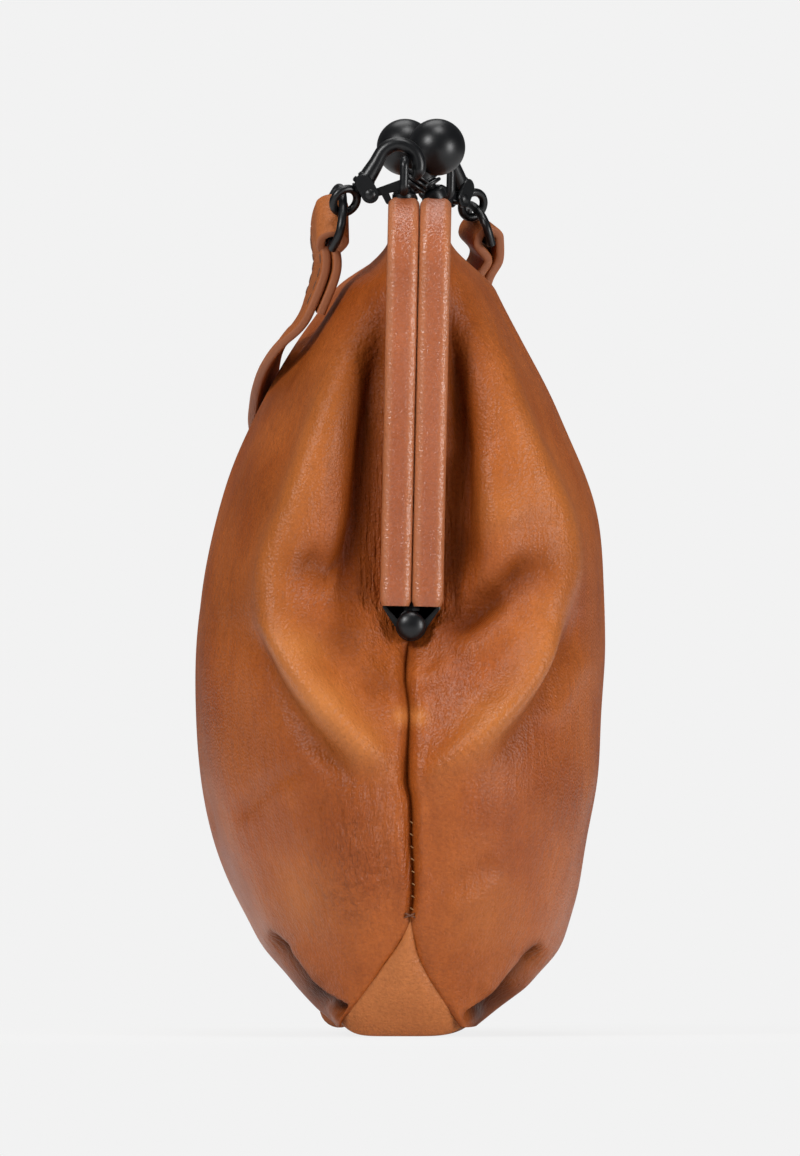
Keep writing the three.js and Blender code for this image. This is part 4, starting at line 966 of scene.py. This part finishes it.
def clasp(end, place, turn, lift, eye_turn, pull, bar_hint, frame_body):
    """A lug, a snap hook with its gate, a swivel eye and a D-ring.

    Returns the middle of the D-ring's bar, the bar's direction and the direction of pull, on the pouch.
    """
    lug_turn = turned("z", turn)
    hook_turn = lug_turn @ turned("x", lift)

    def put(part, matrix=hook_turn):
        points, faces = part
        return on_frame(np.asarray(place, float) + points @ matrix.T), faces

    rim = rounded(*LUG_HALF, LUG_CORNER, 8) - [0, LUG_HALF[1]]
    ring = wire_part(rim[:, :1] * X_WAY + rim[:, 1:] * Z_WAY, Y_WAY, LUG_WIRE, 18, True)
    foot = lathe_part(LUG_FOOT, [0, 0, 0], Z_WAY)
    lug = make(end + "_strap_lug", [put(ring, lug_turn), put(foot, lug_turn)], [BLACK_METAL])
    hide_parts(end + "_lug")
    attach(lug, frame_body)

    line = through([(0, p, q) for p, q in HOOK_LINE], 60)
    share = np.linspace(0, 1, 60)
    radius = HOOK_WIRE * np.minimum(1, 0.45 + 6 * share) + 0.35 * smooth(0.7, 1, share)
    parts = [put(wire_part(line, X_WAY, radius, 24)), put(lathe_part(BARREL, BARREL_START, SHANK_WAY))]
    for low in (-EAR_OUT, EAR_OUT - EAR_THICK):
        parts.append(put(plate_part(link_outline(GATE_PIVOT, EAR_ROOT, 2.0, 2.0), low, low + EAR_THICK)))
    pin = HALF_PIN + [(r, -h) for r, h in reversed(HALF_PIN)]
    parts.append(put(lathe_part(pin, [0, *GATE_PIVOT], X_WAY, 24)))
    hook = make(end + "_snap_hook", parts, [BLACK_METAL])
    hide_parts(end + "_hook", end + "_gate_pin")
    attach(hook, end + "_clasp")

    tab = [(GATE_PIVOT[0] - 3.1, GATE_PIVOT[1] + 0.9), (GATE_PIVOT[0] - 4.2, GATE_PIVOT[1] - 1.4)]
    parts = [
        put(plate_part(link_outline(GATE_PIVOT, GATE_TIP, 0.85, 1.15), -GATE_HALF, GATE_HALF)),
        put(lathe_part(GATE_EYE, [0, *GATE_PIVOT], X_WAY, 32)),
        put(plate_part(link_outline(*tab, 0.9, 0.75), -TAB_HALF, TAB_HALF)),
    ]
    gate = make(end + "_snap_gate", parts, [BLACK_METAL])
    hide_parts(end + "_gate")
    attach(gate, end + "_gate")
    repaint(end + "_gate_spring", SPRING_STEEL)

    axis = math.cos(eye_turn) * X_WAY + math.sin(eye_turn) * np.cross(SHANK_WAY, X_WAY)
    over = np.cross(axis, SHANK_WAY)
    angles = np.linspace(0, 2 * math.pi, 56, endpoint=False)[:, None]
    ring = EYE_CENTRE + EYE_RADIUS * (np.cos(angles) * SHANK_WAY + np.sin(angles) * over)
    pull = unit(pull)
    bar_way = np.array(bar_hint, float)
    bar_way = unit(bar_way - (bar_way @ pull) * pull)
    d_bar = D_BOW + pull * D_DEPTH
    loop = [(w, 0.0) for w in np.linspace(D_HALF_BAR, -D_HALF_BAR, 24)[:-1]]
    for angle in np.linspace(math.pi, 2 * math.pi, 50)[:-1]:
        loop.append((D_HALF_BAR * math.cos(angle), D_DEPTH * abs(math.sin(angle)) ** 0.5))
    loop = np.array(loop)
    d_line = d_bar + loop[:, :1] * bar_way - loop[:, 1:] * pull
    parts = [
        put(wire_part(ring, axis, EYE_WIRE, 20, True)),
        put(lathe_part(STEM, BARREL_END, SHANK_WAY, 24)),
        put(wire_part(d_line, np.cross(bar_way, pull), D_WIRE, 20, True)),
    ]
    swivel = make(end + "_swivel_and_ring", parts, [BLACK_METAL])
    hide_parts(end + "_swivel_eye", end + "_d_ring")
    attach(swivel, end + "_swivel")
    lean = turned("x", LEAN) @ hook_turn
    return on_frame(np.asarray(place) + hook_turn @ d_bar), lean @ bar_way, lean @ pull


NEAR_BAR = clasp(
    "near", (-LUG_X, BAR_MIDDLE, LUG_HEIGHT), 0.0, 0.0, math.radians(-38), (0.69, 0.33, -0.64),
    (0.67, 0.035, 0.74), "pouch",
)
FAR_BAR = clasp(
    "far", (LUG_X, -BAR_MIDDLE, LUG_HEIGHT), math.radians(180 + 52), math.radians(3), math.radians(23),
    (0, 0.36, -0.93), (-0.8, 0.55, 0.2), "front_frame",
)


# Strap: a flat leather band, sewn round each D-ring, with its spare length tied in a hank at the far side
STRAP_WIDTH = 12.0
STRAP_THICK = 2.2
PLY_HALF = 1.3
PLY_START = 5.0
PLY_STATIONS = 3
LOOP_STATIONS = 9
LOOP_RADIUS = D_WIRE + 0.6 + STRAP_THICK / 2
# Chosen points of the strap, each with its place and the direction that its outer face looks
NEAR_PLIES = [(-32.8, 16.6, 174.5, -0.2, 0.93, 0.3), (-31.2, 19.6, 165, -0.1, 0.93, 0.35)]
NEAR_ROUTE = [
    (-27.5, 24, 160.5, -0.1, 0.7, 0.7), (-18, 27.8, 156, 0, 0.8, 0.6), (-4, 30, 152, 0, 0.85, 0.5),
    (12, 31, 148, 0.1, 0.88, 0.45), (29, 31.4, 143, 0.2, 0.88, 0.4), (45, 30, 137.5, 0.35, 0.85, 0.3),
    (59, 26.5, 131.5, 0.4, 0.85, 0.2), (69, 21.5, 127, 0.2, 0.95, 0.1),
]
FAR_PLIES = [(57.5, -17.2, 172, -0.2, 0.96, -0.2), (61, -18.2, 164, -0.25, 0.95, -0.15)]
FAR_ROUTE = [
    (66, -19.2, 152, -0.25, 0.95, -0.15), (71.5, -19, 140, -0.2, 0.95, -0.1), (75.5, -18, 129, 0, 1, 0),
]
HANK_X = 77.0
HANK_RUNS = 6
HANK_PITCH = 7.0
HANK_LOW = 5.0
HANK_HIGH = 112.0
TIE_Z = 62.0
# Stitches near the D-ring: from and to, measured from the fold, their pitch and their distance from the edge
STITCHED = (11.0, 26.0)
STITCH_GAP = 3.0
STITCH_INSET = 1.5
# Stations along each free stretch, and those among which the near fold lies
NEAR_STATIONS = 420
FAR_STATIONS = 320
FOLD_STATIONS = 200
STRAP_MATERIALS = [STRAP_LEATHER, CUT_EDGE, THREAD]


def hank_y(run):
    """Where a run of the hank stands."""
    return ((HANK_RUNS - 1) / 2 - run) * HANK_PITCH


def sewn_end(bar, plies):
    """Points with outer directions: up the short ply, round the D-ring's bar and down the long ply."""
    at, way, away = bar
    face = np.cross(way, away)
    middles = [np.concatenate([at + away * PLY_START, face])] + [np.array(p, float) for p in plies]
    short, long = [], []
    for i, middle in enumerate(middles):
        before = middles[i - 1][:3] if i else at
        after = middles[min(i + 1, len(middles) - 1)][:3]
        ahead = unit(after - before)
        over = unit(middle[3:] - (middle[3:] @ ahead) * ahead)
        short.append(np.concatenate([middle[:3] - over * PLY_HALF, -over]))
        long.append(np.concatenate([middle[:3] + over * PLY_HALF, over]))
    loop = []
    for angle in -math.pi / 2 - np.linspace(0, math.pi, LOOP_STATIONS):
        out = math.cos(angle) * away + math.sin(angle) * face
        loop.append(np.concatenate([at + LOOP_RADIUS * out, out]))
    return short[::-1] + loop + long, len(middles) + len(loop) // 2


def hank_lead(run):
    """The last points of a free stretch, above its run of the hank."""
    return [np.array([HANK_X, hank_y(run), HANK_HIGH + rise, 0, 1, 0]) for rise in (12, 6, 0.3)]


def hank_points():
    """The hank's middle line: straight runs up and down, joined by half circles."""
    points = []
    bend = HANK_PITCH / 2
    for run in range(HANK_RUNS):
        ends = (HANK_LOW, HANK_HIGH) if run % 2 else (HANK_HIGH, HANK_LOW)
        turn = bend if run % 2 else -bend
        for z in np.linspace(*ends, 28):
            points.append((HANK_X, hank_y(run), z))
        if run < HANK_RUNS - 1:
            for angle in np.linspace(0, math.pi, 14)[1:-1]:
                shift = bend * (1 - math.cos(angle))
                points.append((HANK_X, hank_y(run) - shift, ends[1] + turn * math.sin(angle)))
    return np.array(points)


def directions(stations):
    """Place, direction, width direction and outer direction at each station of a band."""
    at, out = stations[:, :3], stations[:, 3:]
    way = unit(np.gradient(at, axis=0))
    face = unit(out - (out * way).sum(1, keepdims=True) * way)
    return at, way, np.cross(way, face), face


def band_part(stations):
    """A band with rounded edges along stations of place and outer direction. Gives face and edge pieces."""
    at, _, wide, face = directions(stations)
    section = rounded(STRAP_WIDTH / 2, STRAP_THICK / 2, 0.75, 5)
    points, faces = tube_part(at[:, None] + section[:, :1] * wide[:, None] + section[:, 1:] * face[:, None])
    on_face = np.abs(section[:, 1]) > STRAP_THICK / 2 - 0.45
    broad, edges = [], []
    for corners in faces:
        flat = len(corners) == 4 and all(on_face[k % len(section)] for k in corners)
        (broad if flat else edges).append(corners)
    return (points, broad), (points, edges, 1)


def stitch_parts(stations, first, last):
    """Threads along both edges of a stretch of band, on its outer face."""
    at, way, wide, face = directions(stations)
    run = run_along(at)
    share = np.linspace(-1, 1, 7)
    along_it = share[:, None]
    rise = STRAP_THICK / 2 + 0.16 * (1 - along_it**4) - 0.1
    parts = []
    for middle in np.arange(first, last, STITCH_GAP):
        k = np.minimum(np.searchsorted(run, middle + share * 1.05), len(run) - 1)
        here = min(np.searchsorted(run, middle), len(run) - 1)
        for edge in (-1, 1):
            out = edge * (STRAP_WIDTH / 2 - STITCH_INSET)
            spots = at[k] + out * wide[k] + rise * face[k] + 0.01 * along_it * way[k]
            chord = np.linspace(spots[0], spots[-1], 7)
            line = chord + 0.8 * (spots - chord) + 1e-3 * along_it * way[here]
            parts.append((*wire_part(line, wide[here], 0.24, 8), 2))
    return parts


def nearest(line, place):
    """The number of the station on a line that is nearest to a place."""
    return int(np.argmin(np.linalg.norm(line[:, :3] - place[:3], axis=1)))


def loop_piece(name, line, points):
    """The turn of a band round a D-ring's bar, and its first and last station."""
    first = nearest(line, points[PLY_STATIONS - 1])
    last = nearest(line, points[PLY_STATIONS + LOOP_STATIONS])
    loop = make(name, [*band_part(line[first:last + 1])], STRAP_MATERIALS, 50)
    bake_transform(loop)
    return loop, first, last


near_points, near_fold = sewn_end(NEAR_BAR, NEAR_PLIES)
near_points += [np.array(p, float) for p in NEAR_ROUTE] + hank_lead(0)
near_line = through(near_points, NEAR_STATIONS)
fold_at = nearest(near_line[:FOLD_STATIONS], near_points[near_fold])
near_run = run_along(near_line)[fold_at]
loop_near, first, last = loop_piece(
    "strap_near_loop", near_line, near_points
)
parts = [*band_part(near_line[:first + 1]), *band_part(near_line[last:])]
parts += stitch_parts(near_line, near_run + STITCHED[0], near_run + STITCHED[1])
strap_near = make("strap_near_stretch", parts, STRAP_MATERIALS, 50)
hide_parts("strap_near_end")
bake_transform(strap_near)

far_points, _ = sewn_end(FAR_BAR, FAR_PLIES)
far_all = far_points + [np.array(p, float) for p in FAR_ROUTE] + hank_lead(HANK_RUNS - 1)
far_line = through(far_all, FAR_STATIONS)
loop_far, first, last = loop_piece("strap_far_loop", far_line, far_all)
cut_at = nearest(far_line[last:], far_all[len(far_points) - 1]) + last
parts = [*band_part(far_line[:first + 1]), *band_part(far_line[last:cut_at + 1])]
sewn_far = make("strap_far_sewn_end", parts, STRAP_MATERIALS, 50)
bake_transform(sewn_far)
hank = hank_points()[::-1]
hank_out = np.cross(X_WAY, unit(np.gradient(hank, axis=0)))
if hank_out[0, 1] < 0:
    hank_out = -hank_out
hank_stations = np.column_stack([hank, hank_out])
rest = np.concatenate([far_line[cut_at:], hank_stations])
strap_rest = make("strap_far_stretch_and_hank", [*band_part(rest)], STRAP_MATERIALS, 50)
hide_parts("strap_far_end", "strap_hank")
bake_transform(strap_rest)

# Leather band round the hank, whose middle runs 1 mm outside of it
HALF_TIE_SECTION = [(-0.7, -4.2), (-0.4, -4.5), (0.4, -4.5), (0.7, -4.2)]
TIE_SECTION = HALF_TIE_SECTION + [(out, -up) for out, up in reversed(HALF_TIE_SECTION)]
half_y = ((HANK_RUNS - 1) * HANK_PITCH + STRAP_THICK) / 2 + 1.0
tie_rim = rounded(STRAP_WIDTH / 2 + 1.0, half_y, 2.0, 8) + [HANK_X, 0]
tie_rim = np.column_stack([tie_rim, np.full(len(tie_rim), TIE_Z)])
outward = np.cross(unit(np.roll(tie_rim, -1, 0) - np.roll(tie_rim, 1, 0)), Z_WAY)
tie_rings = [tie_rim + out * outward + up * Z_WAY for out, up in TIE_SECTION]
tie_tube = tube_part(np.array(tie_rings).transpose(1, 0, 2), closed=True)
tie = make("strap_hank_band", [tie_tube], [STRAP_LEATHER])
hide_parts("strap_tie")
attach(tie, "pouch")


# Studio: a pale floor, soft lights and the camera that the photograph had
PAPER = "F2F2F2"
FLOOR_HALF = 3000.0
# The lights face this place, in metres
MIDDLE = (0.0, 0.0, 0.1)


def stage_floor():
    """A floor that shows the camera an even pale grey and keeps a faint shadow."""
    material, tree, shader = new_material("pale studio paper")
    feed(tree, shader, {"Base Color": linear(PAPER), "Roughness": 1.0, "Specular IOR Level": 0.0})
    glow = add_node(tree, "ShaderNodeEmission", {"Color": linear(PAPER), "Strength": 1.0})
    to_camera = add_node(tree, "ShaderNodeLightPath").outputs["Is Camera Ray"]
    place = add_node(tree, "ShaderNodeTexCoord").outputs["Object"]
    reach = add_node(tree, "ShaderNodeVectorMath", {0: place}, operation="LENGTH").outputs["Value"]
    seen = times(tree, to_camera, ramp(tree, reach, 0.03, 0.22, 0.93, 1.0))
    blend = add_node(tree, "ShaderNodeMixShader", {0: seen, 1: shader.outputs[0], 2: glow.outputs[0]})
    output = next(n for n in tree.nodes if n.type == "OUTPUT_MATERIAL")
    feed(tree, output, {"Surface": blend.outputs[0]})
    corners = np.array([(a * FLOOR_HALF, b * FLOOR_HALF, -0.1) for a, b in CORNERS])
    floor = make("studio_floor", [(corners, [[0, 1, 2, 3]])], [material])


def area_light(name, place, size, watts):
    """A white softbox of a width and a height at place, in metres, that faces the pouch."""
    lamp = bpy.data.lights.new(name, "AREA")
    lamp.shape = "RECTANGLE"
    lamp.size, lamp.size_y = size
    lamp.energy = watts
    obj = bpy.data.objects.new(name, lamp)
    way = unit(np.array(place) - MIDDLE)
    obj.rotation_euler = (math.acos(way[2]), 0, math.atan2(way[0], -way[1]))
    obj.location = place
    bpy.context.scene.collection.objects.link(obj)


def world_light(strength):
    """A pale surround: even grey for the camera, and a weak light for the rest."""
    world = bpy.data.worlds.new("studio surround")
    bpy.context.scene.world = world
    world.use_nodes = True
    tree = world.node_tree
    tree.nodes.clear()
    to_camera = add_node(tree, "ShaderNodeLightPath").outputs["Is Camera Ray"]
    seen = add_node(tree, "ShaderNodeBackground", {"Color": linear(PAPER), "Strength": 1.0})
    light = add_node(tree, "ShaderNodeBackground", {"Color": linear("F4F4F6"), "Strength": strength})
    blend = add_node(tree, "ShaderNodeMixShader", {0: to_camera, 1: light.outputs[0], 2: seen.outputs[0]})
    add_node(tree, "ShaderNodeOutputWorld", {"Surface": blend.outputs[0]})


stage_floor()
world_light(0.11)
area_light("key softbox", (-0.79, 0.64, 0.74), (0.35, 0.35), 11.0)
area_light("fill softbox", (-0.67, -0.98, 0.18), (0.35, 0.5), 11.0)
area_light("top softbox", (-0.25, -0.1, 1.2), (0.4, 0.4), 5.5)
area_light("back softbox", (0.5, 0.1, 1.15), (0.6, 0.6), 3.6)

# The photograph's view, along the hinge line through a long lens
camera_data = bpy.data.cameras.new("camera")
camera_data.sensor_fit = "VERTICAL"
camera_data.sensor_height = 24.0
camera_data.lens = 728.8
camera = bpy.data.objects.new("camera", camera_data)
camera.location = (-8.0, 0.0001, 0.1038)
camera.rotation_euler = (math.radians(90), 0, math.radians(-90))
bpy.context.scene.collection.objects.link(camera)
bpy.context.scene.camera = camera
bpy.context.scene.view_settings.view_transform = "Standard"
